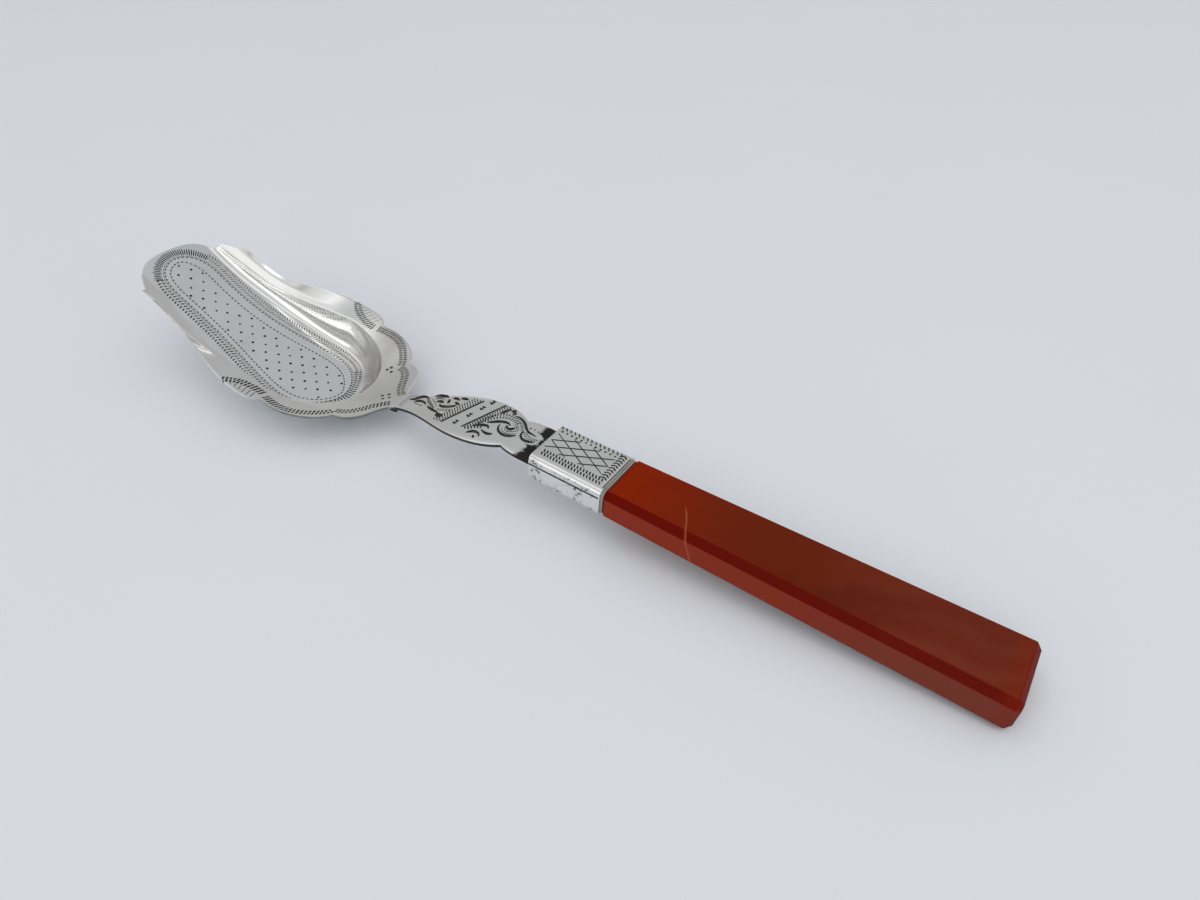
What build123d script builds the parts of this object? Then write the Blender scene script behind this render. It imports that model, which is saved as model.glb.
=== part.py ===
from build123d import *
from math import asin, atan2, cos, degrees, hypot, radians, sin, sqrt, tan
import os

# Sugar scoop: a raised silver shovel bowl on a leaf-shaped stem, with a ferrule and an agate bar handle.
# It lies as it rests on a table: +X runs from the bowl's open front to the handle's tail, +Z is up.

# Bowl: sizes in the bowl's own frame, u back from the front edge, v across, h up from the floor's chord
sheet = 0.6                 # silver sheet thickness
bowl_tilt = 21.9            # the floor's chord rises towards the front, degrees
floor_chord = 52.0          # front edge to the rear of the floor
floor_sag = 3.1             # hollow of the floor below its chord
fan_u = 40.0                # where the straight sides end and the rounded rear begins
crease_front = 8.1          # half width of the floor at the front
crease_rear = 10.8          # half width of the floor at the belly
crease_end = 12.6           # reach of the floor behind fan_u
wall_top_front = 8.8        # half width at the top of the cove wall, at the front
wall_top_rear = 12.8        # half width at the top of the cove wall, at the belly
wall_top_end = 15.6         # reach of the wall's top behind fan_u
wall_height_front = 2.0     # cove wall above the floor, at the front edge
wall_height_waist = 2.8     # cove wall above the floor, at the waist
wall_height_rear = 6.8      # cove wall above the floor, belly
wall_height_end = 5.7       # wall's top above the chord, at the rear
wall_hollow = 0.6           # bow of the cove wall
ledge_width = 1.8           # flat ledge outside the wall's top, front
ledge_angle = 15.0          # rise of the ledge, degrees
lip_angle_tip = 24.0        # rise of the wings' outer lip at their tips, degrees
lip_angle_waist = 48.0      # rise of the wings' outer lip at the waist, degrees
lip_angle_ear = 8.0         # rise of the flange at the ears, degrees
flange_angle_rear = 31.0    # rise of the flange at the neck, degrees

# Bowl outline: half of it, in u and v
tongue_u = 0.5              # middle of the tongue's front edge
tongue_half = 7.6           # half width of the front tongue
tongue_round = 2.4          # how far the tongue's corners lie behind its middle
wing_tip_u = 9.0
wing_tip_v = 12.0
wing_root_v = 10.9          # where the wing's front edge meets the ledge
waist_u = 22.0
waist_v = 13.0
ear_u = 40.0
ear_v = 17.5
cusp_front_u = 45.5         # notch between the ear and the middle lobe
cusp_front_v = 15.6
lobe_u = 51.6
lobe_v = 15.2
cusp_rear_u = 57.4          # notch between the middle and the rear lobe
cusp_rear_v = 10.1
heel_lobe_u = 61.3
heel_lobe_v = 8.0
neck_u = 64.6               # where the flange ends at the stem
neck_half = 2.3
spare_wing = 1.4            # sheet beyond the outline at the wings, trimmed off
spare_ear = 1.5             # the same at the ears
spare_neck = 2.8            # the same at the neck

# Stem: a strap of leaf outline
stem_thick = 0.8
stem_length = 33.1          # neck to ferrule, along X
stem_slim_half = 3.95       # half width of the slender front
stem_slim_at = 8.0          # its place, behind the neck
stem_half = 5.95            # widest half width
stem_wide_at = 15.8         # widest place, behind the neck
stem_cusp_half = 4.0
stem_cusp_at = 26.4         # notch before the fishtail, behind the neck
stem_tail_half = 4.7
stem_crown = 9.9            # height of the arch's top above the table
stem_crown_at = 18.0        # place of the arch's top, behind the neck
stem_seat = 0.75            # stem's top above the ferrule's axis
stem_lap = 4.6              # tongue under the flange

# Ferrule: a folded sleeve with a plate in its front end
ferrule_axis_height = 8.95  # ferrule's axis above the table, at its front end
ferrule_length = 14.0
ferrule_width_front = 10.3
ferrule_width_rear = 10.8
ferrule_thick_front = 5.1
ferrule_thick_rear = 5.2
ferrule_wall = 0.5
ferrule_round = 1.0
plate_thick = 0.8

# Handle: an agate bar
handle_length = 64.3        # front shoulder to tail
handle_width_front = 11.2
handle_width_tail = 13.4
handle_thick_front = 5.6
handle_thick_tail = 6.3
handle_chamfer = 1.1
tail_bevel = 0.9
shoulder_bevel = 0.6
shoulder_gap = 0.5          # ferrule's rear edge to the shoulder, filled by the cement's lip
tenon_length = 8.0
cement_gap = 0.4            # cement round the tenon
tenon_round = 0.6
bore_diameter = 3.0
bore_depth = 26.0           # blind bore, from the tenon's end
tang_diameter = 2.2
tang_end_gap = 1.5          # cement beyond the pin's end

# Helpers
def ease(value, start, end):
    """0 before start, 1 after end, smooth between."""
    share = min(max((value - start) / (end - start), 0.0), 1.0)
    return share * share * (3 - 2 * share)


def floor_height(u):
    """Height of the dished floor, from the chord."""
    half = floor_chord / 2
    return floor_sag * (((u - half) / half) ** 2 - 1)


def bend_normal(before, after):
    """Miter for the outer side of a sheet bend, from two unit directions along the upper side."""
    left = Vector(before.Y, -before.X)
    right = Vector(after.Y, -after.X)
    total = left + right
    return total * (1 / (1 + left.dot(right)))


def flange_section(u, turn):
    """Closed wire across the wall and flange. turn is 0 on the straight side and 90 at the rear."""
    sweep = sin(radians(turn)) ** 2
    side = ease(u, 8.0, fan_u)
    spread = max((u - 4.0) / (fan_u - 4.0), 0.0) ** 1.3
    crease_side = crease_front + (crease_rear - crease_front) * side
    top_side = wall_top_front + (wall_top_rear - wall_top_front) * spread
    crease = sqrt(crease_side ** 2 * (1 - sweep) + crease_end ** 2 * sweep)
    top = sqrt(top_side ** 2 * (1 - sweep) + wall_top_end ** 2 * sweep)

    direction = Vector(sin(radians(turn)), cos(radians(turn)))
    crease_u = u + direction.X * crease
    low = floor_height(crease_u)
    rise = wall_height_front + (wall_height_waist - wall_height_front) * ease(u, 0.0, 14.0)
    rise += (wall_height_rear - wall_height_waist) * ease(u, 17.0, 42.0)
    high = (floor_height(u) + rise) * (1 - sweep) + wall_height_end * sweep
    opening = ease(u, 18.0, fan_u)
    lip = lip_angle_tip + (lip_angle_waist - lip_angle_tip) * ease(u, 6.0, 18.0)
    lip += (lip_angle_ear - lip_angle_waist) * opening
    lip = lip + (flange_angle_rear - lip) * sin(radians(turn))
    ledge_rise = min(ledge_angle, lip) if turn == 0 else lip
    ledge = ledge_width * (1 - 0.45 * opening)
    reach_wing = wing_tip_v - wall_top_front + spare_wing
    reach_ear = ear_v - wall_top_rear + spare_ear
    reach_neck = neck_u - fan_u - wall_top_end + spare_neck
    reach = reach_wing + (reach_ear - reach_wing) * opening
    reach += (reach_neck - reach) * sweep

    root = Vector(crease - sheet, floor_height(crease_u - sheet * direction.X) - 0.35 * sheet)
    foot = Vector(crease, low + 0.1 * sheet)
    wall_top = Vector(top, high)
    ledge_end = wall_top + Vector(ledge, ledge * tan(radians(ledge_rise)))
    edge = ledge_end + Vector(reach - ledge, (reach - ledge) * tan(radians(lip)))

    along_wall = (wall_top - foot).normalized()
    along_ledge = (ledge_end - wall_top).normalized()
    along_lip = (edge - ledge_end).normalized()
    wall_out = Vector(along_wall.Y, -along_wall.X)
    middle = (foot + wall_top) * 0.5 + wall_out * 2 * wall_hollow
    foot_under = foot + Vector(0.5, -1.25) * sheet
    middle_under = middle + wall_out * sheet
    top_under = wall_top + bend_normal(along_wall, along_ledge) * sheet
    ledge_under = ledge_end + bend_normal(along_ledge, along_lip) * sheet
    edge_under = edge + Vector(along_lip.Y, -along_lip.X) * sheet
    root_under = root - Vector(0, 0.4 * sheet)

    def place(point):
        return Vector(u + direction.X * point.X, direction.Y * point.X, point.Y)

    over = [place(p) for p in (root, foot, middle, wall_top, ledge_end, edge)]
    under = [place(p) for p in (root_under, foot_under, middle_under, top_under, ledge_under, edge_under)]
    return Wire([
        Line(over[0], over[1]),
        Bezier(over[1], over[2], over[3]),
        Line(over[3], over[4]),
        Line(over[4], over[5]),
        Line(over[5], under[5]),
        Line(under[5], under[4]),
        Line(under[4], under[3]),
        Bezier(under[3], under[2], under[1]),
        Line(under[1], under[0]),
        Line(under[0], over[0]),
    ])


def mirrored(wire):
    return wire.mirror(Plane.XZ)


def bowl_outline():
    """Plan of the trimmed sheet, as a face."""
    corner = (tongue_u + tongue_round, tongue_half)
    front = Spline((tongue_u, 0), corner, tangents=[(0, 1), (1, 0.75)])
    shoulder = Spline(corner, (wing_tip_u - 0.4, wing_root_v), tangents=[(1, 0.6), (1, 0.3)])
    tip = Line((wing_tip_u - 0.4, wing_root_v), (wing_tip_u, wing_tip_v))
    wing = Spline(
        (wing_tip_u, wing_tip_v), (waist_u, waist_v), (ear_u, ear_v), (cusp_front_u, cusp_front_v),
        tangents=[(1, 0.02), (0.35, -1)],
    )
    lobe = Spline(
        (cusp_front_u, cusp_front_v), (lobe_u, lobe_v), (cusp_rear_u, cusp_rear_v),
        tangents=[(1, 0.25), (0.3, -1)],
    )
    heel = Spline(
        (cusp_rear_u, cusp_rear_v), (heel_lobe_u, heel_lobe_v), (neck_u, neck_half),
        tangents=[(1, 0.1), (1, -0.25)],
    )
    end = Line((neck_u, neck_half), (neck_u, 0))
    half = [front, shoulder, tip, wing, lobe, heel, end]
    edges = [edge for part in half for edge in part.edges()]
    edges += [edge.mirror(Plane.XZ) for edge in edges]
    return make_face(edges)


def make_bowl():
    """Raised sheet in the bowl's frame."""
    sides = [(u, 0.0) for u in (-4.0, 4.0, 13.0, 22.0, 31.0)]
    rear = [(fan_u, turn) for turn in (0.0, 30.0, 60.0)]
    half = [flange_section(u, turn) for u, turn in sides + rear]
    end = flange_section(fan_u, 90.0)
    wires = half + [end] + [mirrored(wire) for wire in reversed(half)]
    band = Solid.make_loft(wires)

    half_chord = floor_chord / 2
    radius = (half_chord ** 2 + floor_sag ** 2) / (2 * floor_sag)
    centre = Pos(half_chord, 0, radius - floor_sag) * Rot(90, 0, 0)
    tube = Cylinder(radius + sheet, 80) - Cylinder(radius, 90)
    crease_u = [u for u, _ in sides] + [fan_u]
    tuck = 0.3 * sheet
    crease_points = [
        (u, crease_front + (crease_rear - crease_front) * ease(u, 8.0, fan_u) + tuck) for u in crease_u
    ]
    side_edge = Spline(*crease_points, tangents=[(1, 0), (1, 0)])
    rear_edge = EllipticalCenterArc(
        (fan_u, 0), crease_end + tuck, crease_rear + tuck, start_angle=0, arc_size=90
    )
    cross = Line((crease_u[0], 0), crease_points[0])
    edges = [edge for part in (cross, side_edge, rear_edge) for edge in part.edges()]
    edges += [edge.mirror(Plane.XZ) for edge in edges]
    floor_plan = extrude(make_face(edges), 30, both=True)
    floor = (centre * tube) & floor_plan

    blank = floor + band
    return blank & extrude(bowl_outline(), 60, both=True)


def bowl_point(u, h):
    """Place of a point of the bowl's middle plane once the bowl is tilted, as X and Z."""
    tilt = radians(bowl_tilt)
    return u * cos(tilt) + h * sin(tilt), h * cos(tilt) - u * sin(tilt)


def flange_height(u):
    """Top of the flange on the bowl's middle plane, in the bowl's frame."""
    return wall_height_end + (u - fan_u - wall_top_end) * tan(radians(flange_angle_rear))


def make_stem(neck_x, neck_z, seat_x, seat_z, bowl, ferrule_side):
    """Arched strap of leaf outline. Its front tongue lies under the bowl's flange, its rear end on the plate."""
    slope = radians(flange_angle_rear - bowl_tilt)
    tongue = Vector(-stem_lap * cos(slope), -stem_lap * sin(slope))
    neck = Vector(neck_x, neck_z)
    lap_drop = Vector(0, 0.5 * sheet)
    crown = Vector(neck_x + stem_crown_at, stem_crown)
    seat = Vector(seat_x, seat_z)
    under = Vector(0, stem_thick)
    lap_under = Vector(0, sheet + stem_thick)

    lap_top = Line(neck + tongue - lap_drop, neck - lap_drop)
    step = Line(neck - lap_drop, neck)
    top = Spline(neck, crown, seat, tangents=[(cos(slope), 2.2 * sin(slope)), (1, -0.12)])
    end = Line(seat, seat - under)
    low = Spline(seat - under, crown - under, neck - lap_under, tangents=[(-1, 0.12), (-cos(slope), -1.6 * sin(slope))])
    lap_low = Line(neck - lap_under, neck + tongue - lap_under)
    tip = Line(neck + tongue - lap_under, neck + tongue - lap_drop)
    edges = [edge for part in (lap_top, step, top, end, low, lap_low, tip) for edge in part.edges()]
    strap = extrude(Plane.XZ * make_face(edges), 2 * stem_half, both=True)

    lap_front = neck_x - stem_lap
    nose = Spline((lap_front, 0), (neck_x, neck_half), tangents=[(0, 1), (1, 0.1)])
    leaf = Spline(
        (neck_x, neck_half), (neck_x + stem_slim_at, stem_slim_half), (neck_x + stem_wide_at, stem_half),
        (neck_x + stem_cusp_at, stem_cusp_half),
        tangents=[(1, 0.1), (1, -0.75)],
    )
    fishtail = Spline(
        (neck_x + stem_cusp_at, stem_cusp_half), (seat_x, stem_tail_half), tangents=[(1, 0.45), (1, 0)],
    )
    cross = Line((seat_x, stem_tail_half), (seat_x, 0))
    edges = [edge for part in (nose, leaf, fishtail, cross) for edge in part.edges()]
    edges += [edge.mirror(Plane.XZ) for edge in edges]
    outline = extrude(make_face(edges), 2 * stem_length, both=True)
    return (strap & outline) - bowl - ferrule_side


def block(x_start, width_start, thick_start, x_end, width_end, thick_end, corner):
    """Tapered bar along X with rounded long edges."""
    faces = []
    for x, width, thick in ((x_start, width_start, thick_start), (x_end, width_end, thick_end)):
        plane = Plane(origin=(x, 0, 0), x_dir=(0, 1, 0), z_dir=(1, 0, 0))
        rectangle = Rectangle(width, thick)
        faces.append(plane * fillet(rectangle.vertices(), corner))
    return loft(faces)


def taper(x_start, size_start, x_end, size_end):
    """Symmetric trapezium along X."""
    corners = [(x_start, -size_start / 2), (x_end, -size_end / 2), (x_end, size_end / 2), (x_start, size_start / 2)]
    return make_face(Polyline(*corners, close=True))


def sleeve_size(x):
    """Outer width and thickness of the ferrule, x behind its front end."""
    share = x / ferrule_length
    width = ferrule_width_front + (ferrule_width_rear - ferrule_width_front) * share
    return width, ferrule_thick_front + (ferrule_thick_rear - ferrule_thick_front) * share


def sleeve_block(x_start, x_end, inset, corner):
    """Tapered block that lies inset from the ferrule's outer faces."""
    width_start, thick_start = sleeve_size(x_start)
    width_end, thick_end = sleeve_size(x_end)
    trim = 2 * inset
    return block(
        x_start, width_start - trim, thick_start - trim, x_end, width_end - trim, thick_end - trim, corner
    )


# Handle group, in the ferrule's frame: X along the axis from the ferrule's front end
shoulder_x = ferrule_length + shoulder_gap
tail_x = shoulder_x + handle_length
tenon_x = shoulder_x - tenon_length
inner_round = ferrule_round - ferrule_wall


def make_sleeve():
    return sleeve_block(0, ferrule_length, 0, ferrule_round) - sleeve_block(
        -1, ferrule_length + 1, ferrule_wall, inner_round
    )


def make_plate():
    return sleeve_block(0, plate_thick, ferrule_wall, inner_round)


def make_bore():
    """Blind bore of the handle, from the tenon's end."""
    return Pos(tenon_x, 0, 0) * Rot(0, 90, 0) * Cylinder(
        bore_diameter / 2, bore_depth, align=(Align.CENTER, Align.CENTER, Align.MIN)
    )


def make_tang():
    length = tenon_x + bore_depth - tang_end_gap - plate_thick
    pin = Cylinder(tang_diameter / 2, length, align=(Align.CENTER, Align.CENTER, Align.MIN))
    pin = chamfer(pin.edges().sort_by(Axis.Z)[-1:], 0.3)
    return Pos(plate_thick, 0, 0) * Rot(0, 90, 0) * pin


def make_handle():
    """Bar cut to a taper both ways, its long edges and ends chamfered, with a tenon and a blind bore."""
    plan = taper(shoulder_x, handle_width_front, tail_x, handle_width_tail)
    side = Plane.XZ * taper(shoulder_x, handle_thick_front, tail_x, handle_thick_tail)
    bar = extrude(plan, handle_thick_tail, both=True) & extrude(side, handle_width_tail, both=True)
    long_edges = [edge for edge in bar.edges() if edge.length > 0.9 * handle_length]
    bar = chamfer(long_edges, handle_chamfer)
    bar = chamfer(bar.faces().sort_by(Axis.X)[-1].edges(), tail_bevel)
    bar = chamfer(bar.faces().sort_by(Axis.X)[0].edges(), shoulder_bevel)
    tenon = sleeve_block(tenon_x, shoulder_x, ferrule_wall + cement_gap, tenon_round)
    return bar + tenon - make_bore()


def make_cement(handle, tang):
    """Fills the ferrule and the bore, with a lip between the sleeve's rear edge and the shoulder."""
    fill = sleeve_block(plate_thick, ferrule_length, ferrule_wall, inner_round)
    lip = sleeve_block(ferrule_length, shoulder_x, 0.5 * ferrule_wall, ferrule_round)
    return fill + lip + make_bore() - handle - tang


def main():
    os.makedirs("parts", exist_ok=True)
    bowl = Rot(0, bowl_tilt, 0) * make_bowl()
    lift = -bowl.bounding_box().min.Z
    bowl = Pos(0, 0, lift) * bowl
    neck_x, neck_z = bowl_point(neck_u, flange_height(neck_u))
    neck_z += lift

    # The handle slopes until the tail's lower edge is on the table
    contact_x = tail_x - tail_bevel
    half_tail = handle_thick_tail / 2
    slope = asin(ferrule_axis_height / hypot(contact_x, half_tail)) - atan2(half_tail, contact_x)
    ferrule_x = neck_x + stem_length
    grip = Pos(ferrule_x, 0, ferrule_axis_height) * Rot(0, degrees(slope), 0)

    sleeve = make_sleeve()
    plate = make_plate()
    tang = make_tang()
    handle = make_handle()
    cement = make_cement(handle, tang)
    behind = grip * Box(
        ferrule_length, 4 * stem_half, 8 * ferrule_thick_front, align=(Align.MIN, Align.CENTER, Align.CENTER)
    )
    seat_x = ferrule_x + stem_seat
    seat_z = ferrule_axis_height + stem_seat * cos(slope)
    stem = make_stem(neck_x, neck_z, seat_x, seat_z, bowl, behind)

    pieces = {
        "scoop_bowl": bowl,
        "stem": stem,
        "ferrule_sleeve": grip * sleeve,
        "ferrule_front_plate": grip * plate,
        "tang_pin": grip * tang,
        "handle_cement": grip * cement,
        "agate_handle": grip * handle,
    }
    boxes = [piece.bounding_box() for piece in pieces.values()]
    middle = (min(box.min.X for box in boxes) + max(box.max.X for box in boxes)) / 2
    for name, piece in pieces.items():
        placed = Pos(-middle, 0, 0) * piece
        box = placed.bounding_box()
        print(name, len(placed.solids()), placed.is_valid, round(placed.volume, 1), box.min, box.max)
        export_step(placed, f"parts/{name}.step")


if __name__ == "__main__":
    main()
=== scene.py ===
# %% [markdown]
# # A sugar scoop with an agate handle
# The real scoop is raised from silver sheet, engraved by hand, and ends in a polished stone bar. The
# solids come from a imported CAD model. This script dresses them: it rebuilds the sheet pieces with
# soft edges, cuts the ornament into them as small geometry, and gives each piece its finish.

# %% Load the fixed frame
from math import cos, pi, radians, sin, tan

import bmesh
import bpy
import numpy as np
from mathutils import Matrix, Vector
from mathutils.bvhtree import BVHTree


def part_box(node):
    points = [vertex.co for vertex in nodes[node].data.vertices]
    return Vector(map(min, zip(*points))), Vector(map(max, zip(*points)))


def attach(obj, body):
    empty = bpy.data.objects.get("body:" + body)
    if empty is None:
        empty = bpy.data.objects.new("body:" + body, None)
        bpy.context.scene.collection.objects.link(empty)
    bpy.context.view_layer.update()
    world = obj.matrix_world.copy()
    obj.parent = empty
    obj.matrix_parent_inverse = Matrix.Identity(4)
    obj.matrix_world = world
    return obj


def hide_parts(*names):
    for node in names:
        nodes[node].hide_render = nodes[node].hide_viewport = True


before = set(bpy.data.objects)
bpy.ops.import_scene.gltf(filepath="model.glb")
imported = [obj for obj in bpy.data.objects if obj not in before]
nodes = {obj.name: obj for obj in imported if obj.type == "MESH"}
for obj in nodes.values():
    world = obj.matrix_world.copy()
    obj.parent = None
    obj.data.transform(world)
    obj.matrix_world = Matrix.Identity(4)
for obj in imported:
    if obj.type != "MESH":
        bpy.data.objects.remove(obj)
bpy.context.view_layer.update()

mm = 0.001
print("nodes:", ", ".join(sorted(nodes)))

# %% [markdown]
# ## Camera
# The photographer stood on the near right, close to the table, with a fairly wide lens. The place and
# the turn were worked out from the straight edges of the handle and the ferrule, so the render can be
# laid over the picture.

# %% Camera
camera_place = (77.74, -89.68, 99.05)
camera_pitch = 38.58
camera_turn = 32.87
camera_roll = 0.20
picture_width = 1200
focal_pixels = 859
sensor_width = 36


def add_object(name, data):
    """New object at the origin, linked to the scene."""
    thing = bpy.data.objects.new(name, data)
    bpy.context.scene.collection.objects.link(thing)
    return thing


camera_data = bpy.data.cameras.new("camera")
camera_data.sensor_fit = "HORIZONTAL"
camera_data.sensor_width = sensor_width
camera_data.lens = focal_pixels / picture_width * sensor_width
camera_data.clip_start = 1 * mm
camera = add_object("camera", camera_data)
aim = Matrix.Rotation(radians(camera_turn), 4, "Z") @ Matrix.Rotation(radians(90 - camera_pitch), 4, "X")
aim = aim @ Matrix.Rotation(radians(camera_roll), 4, "Z")
camera.matrix_world = Matrix.Translation(Vector(camera_place) * mm) @ aim
bpy.context.scene.camera = camera
bpy.context.scene.view_settings.view_transform = "Standard"
print("lens", round(camera_data.lens, 2), "mm")

# %% [markdown]
# ## Node wiring
# Node trees read more easily as sums than as lists of links. `Wire` wraps one output socket, and
# arithmetic on wires adds Math nodes. `Board` is a tree, and its one method adds any other node.

# %% Wires
class Wire:
    """One output socket. Arithmetic between wires and numbers adds Math nodes."""

    def __init__(self, board, socket):
        self.board = board
        self.socket = socket

    def maths(self, operation, left, right):
        return self.board.node("ShaderNodeMath", {"operation": operation}, {0: left, 1: right})

    def __add__(self, other):
        return self.maths("ADD", self, other)

    def __radd__(self, other):
        return self.maths("ADD", other, self)

    def __sub__(self, other):
        return self.maths("SUBTRACT", self, other)

    def __rsub__(self, other):
        return self.maths("SUBTRACT", other, self)

    def __mul__(self, other):
        return self.maths("MULTIPLY", self, other)

    def __rmul__(self, other):
        return self.maths("MULTIPLY", other, self)

    def __pow__(self, other):
        return self.maths("POWER", self, other)

    def __rpow__(self, other):
        return self.maths("POWER", other, self)

    def __abs__(self):
        return self.board.node("ShaderNodeMath", {"operation": "ABSOLUTE"}, {0: self})

    def out(self, name):
        """Another output of the same node."""
        return Wire(self.board, self.socket.node.outputs[name])


print("wires ready")

# %% Boards
class Board:
    """A node tree. The one method adds a node: its type, its settings, then its sockets."""

    def __init__(self, tree):
        self.tree = tree

    def node(self, kind, settings=None, inputs=None, output=0):
        node = self.tree.nodes.new(kind)
        for name, value in (settings or {}).items():
            if name == "stops":
                elements = node.color_ramp.elements
                while len(elements) < len(value):
                    elements.new(1.0)
                for stop, (position, colour) in zip(elements, value):
                    stop.position = position
                    stop.color = (*colour, 1.0)
            else:
                setattr(node, name, value)
        for name, value in (inputs or {}).items():
            socket = node.inputs[name]
            if isinstance(value, Wire):
                self.tree.links.new(value.socket, socket)
            else:
                socket.default_value = value
        return Wire(self, node.outputs[output]) if node.outputs else node


print("boards ready")

# %% [markdown]
# ### Parts of a finish
# Most finishes are made of the same few parts: a place on the piece, soft noise, a smooth step and a
# blend of two colours. Each is a short function, so a finish reads as a list of what it is made of.

# %% Parts of a finish
cloud_roughness = 0.55


def new_material(name):
    """Material with an empty tree, and its board."""
    material = bpy.data.materials.new(name)
    material.use_nodes = True
    material.node_tree.nodes.clear()
    return material, Board(material.node_tree)


def own_place(board):
    """Object coordinates, in metres."""
    return board.node("ShaderNodeTexCoord", output=3)


def split(board, vector):
    """X of a vector. Its out method gives Y and Z."""
    return board.node("ShaderNodeSeparateXYZ", {}, {0: vector})


def blend(board, share, first, second):
    """Colour between two colours."""
    sockets = {0: share, 6: first, 7: second}
    for index in (6, 7):
        if not isinstance(sockets[index], Wire):
            sockets[index] = (*sockets[index], 1.0)
    return board.node("ShaderNodeMix", {"data_type": "RGBA"}, sockets, output=2)


def clouds(board, place, scale, detail=3.0, stretch=(1, 1, 1)):
    """Soft noise, 0 to 1, on Object coordinates in metres."""
    stretched = board.node("ShaderNodeVectorMath", {"operation": "MULTIPLY"}, {0: place, 1: stretch})
    return board.node(
        "ShaderNodeTexNoise",
        {},
        {"Vector": stretched, "Scale": scale, "Detail": detail, "Roughness": cloud_roughness},
    )


def ramp(board, share, low, high):
    """0 below low, 1 above high, smooth between."""
    return board.node(
        "ShaderNodeMapRange",
        {"interpolation_type": "SMOOTHSTEP"},
        {"Value": share, "From Min": low, "From Max": high},
    )


def finish_surface(board, sockets):
    """Ends a material in one Principled shader."""
    shader = board.node("ShaderNodeBsdfPrincipled", {}, sockets)
    board.node("ShaderNodeOutputMaterial", {}, {"Surface": shader})


print("parts of a finish ready")

# %% [markdown]
# ## Table and light
# The picture has a pale, almost white table and very soft daylight. Polished silver shows its room
# more than itself, so the room matters. It is grey on the far side, bright overhead, and brightest in
# a narrow window behind the photographer, with dimmer bands between, a dark left side and an even,
# pale horizon. The room is a plain gradient of the world. Wide lamps add the daylight, and stay out
# of the reflections.

# %% Table
table_colour = (0.70, 0.725, 0.77)
table_half = 2.0
table_mottle, table_shade = 18.0, 0.975
table_rough, table_shine = 0.6, 0.15

table_mesh = bpy.data.meshes.new("table")
corners = [(-table_half, -table_half, 0), (table_half, -table_half, 0)]
corners += [(table_half, table_half, 0), (-table_half, table_half, 0)]
table_mesh.from_pydata(corners, [], [(0, 1, 2, 3)])
table = add_object("table", table_mesh)

table_material, board = new_material("pale_table")
mottle = clouds(board, own_place(board), table_mottle)
tint = blend(board, mottle, table_colour, tuple(table_shade * part for part in table_colour))
finish_surface(board, {"Base Color": tint, "Roughness": table_rough, "Specular IOR Level": table_shine})
table_mesh.materials.append(table_material)
print("table", 2 * table_half, "m wide")

# %% Room
room_stops = [
    (0.10, (0.43, 0.43, 0.43)), (0.28, (0.465, 0.485, 0.505)), (0.37, (0.64, 0.645, 0.65)),
    (0.45, (1.0, 1.0, 1.0)), (0.55, (0.78, 0.78, 0.78)), (0.69, (0.66, 0.66, 0.66)),
    (0.74, (0.46, 0.465, 0.48)), (0.785, (0.72, 0.72, 0.72)), (0.855, (0.68, 0.68, 0.675)),
    (0.915, (1.75, 1.75, 1.74)), (0.965, (0.72, 0.72, 0.71)),
]
room_left = (0.37, 0.365, 0.35)
room_horizon = (0.66, 0.67, 0.68)
horizon_low, horizon_high = 0.04, 0.34
left_from, left_until, left_share = 0.42, 0.98, 0.85

world = bpy.data.worlds.new("room")
bpy.context.scene.world = world
world.use_nodes = True
world.node_tree.nodes.clear()
board = Board(world.node_tree)
direction = split(board, board.node("ShaderNodeTexCoord", output=0))
behind = 0.5 - direction.out("Y") * 0.5
room = board.node("ShaderNodeValToRGB", {"stops": room_stops}, {0: behind})
level = ramp(board, direction.out("Z"), horizon_low, horizon_high)
room = blend(board, level, room_horizon, room)
leftward = ramp(board, direction * -1.0, left_from, left_until)
room = blend(board, leftward * left_share, room, room_left)
light = board.node("ShaderNodeBackground", {}, {"Color": room, "Strength": 1.0})
board.node("ShaderNodeOutputWorld", {}, {"Surface": light})
print("room with", len(room_stops), "tones from the far side to the near one")

# %% Lamps
def lamp(name, place, size, power):
    """Wide soft area light that faces the scoop and isn't mirrored in it."""
    data = bpy.data.lights.new(name, "AREA")
    data.shape = "RECTANGLE"
    data.size, data.size_y = size
    data.energy = power
    lamp_object = add_object(name, data)
    lamp_object.location = place
    lamp_object.rotation_euler = (-Vector(place)).to_track_quat("-Z", "Y").to_euler()
    lamp_object.visible_glossy = False


lamp("ceiling_daylight", place=(0.25, 0.16, 1.40), size=(3.0, 2.8), power=7.5)
lamp("front_daylight", place=(0.40, -0.80, 1.15), size=(2.4, 1.6), power=6.0)
print("lamps:", ", ".join(light.name for light in bpy.data.lights))

# %% [markdown]
# ## Silver
# Old silver is bright where it is rubbed and warm grey where tarnish stays. Three scales of noise do
# it: wide clouds of tarnish, small stains, and fine wiping scratches that only touch the gloss. A
# nearly black colour goes where a function of each piece says: painted shade on the bowl's rear wall
# and the stem's edges, a darkening on the far flange and where the stem enters the ferrule, and dark
# specks in the ferrule's sides.

# %% Silver
silver_bright = (0.91, 0.91, 0.90)
silver_warm = (0.60, 0.56, 0.50)
silver_black = (0.030, 0.026, 0.022)
cloud_scale, stain_scale, wiping_scale, dent_scale = 90.0, 330.0, 900.0, 170.0
wiping_stretch = (0.12, 1.0, 1.0)
dent_strength = 0.35


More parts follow.
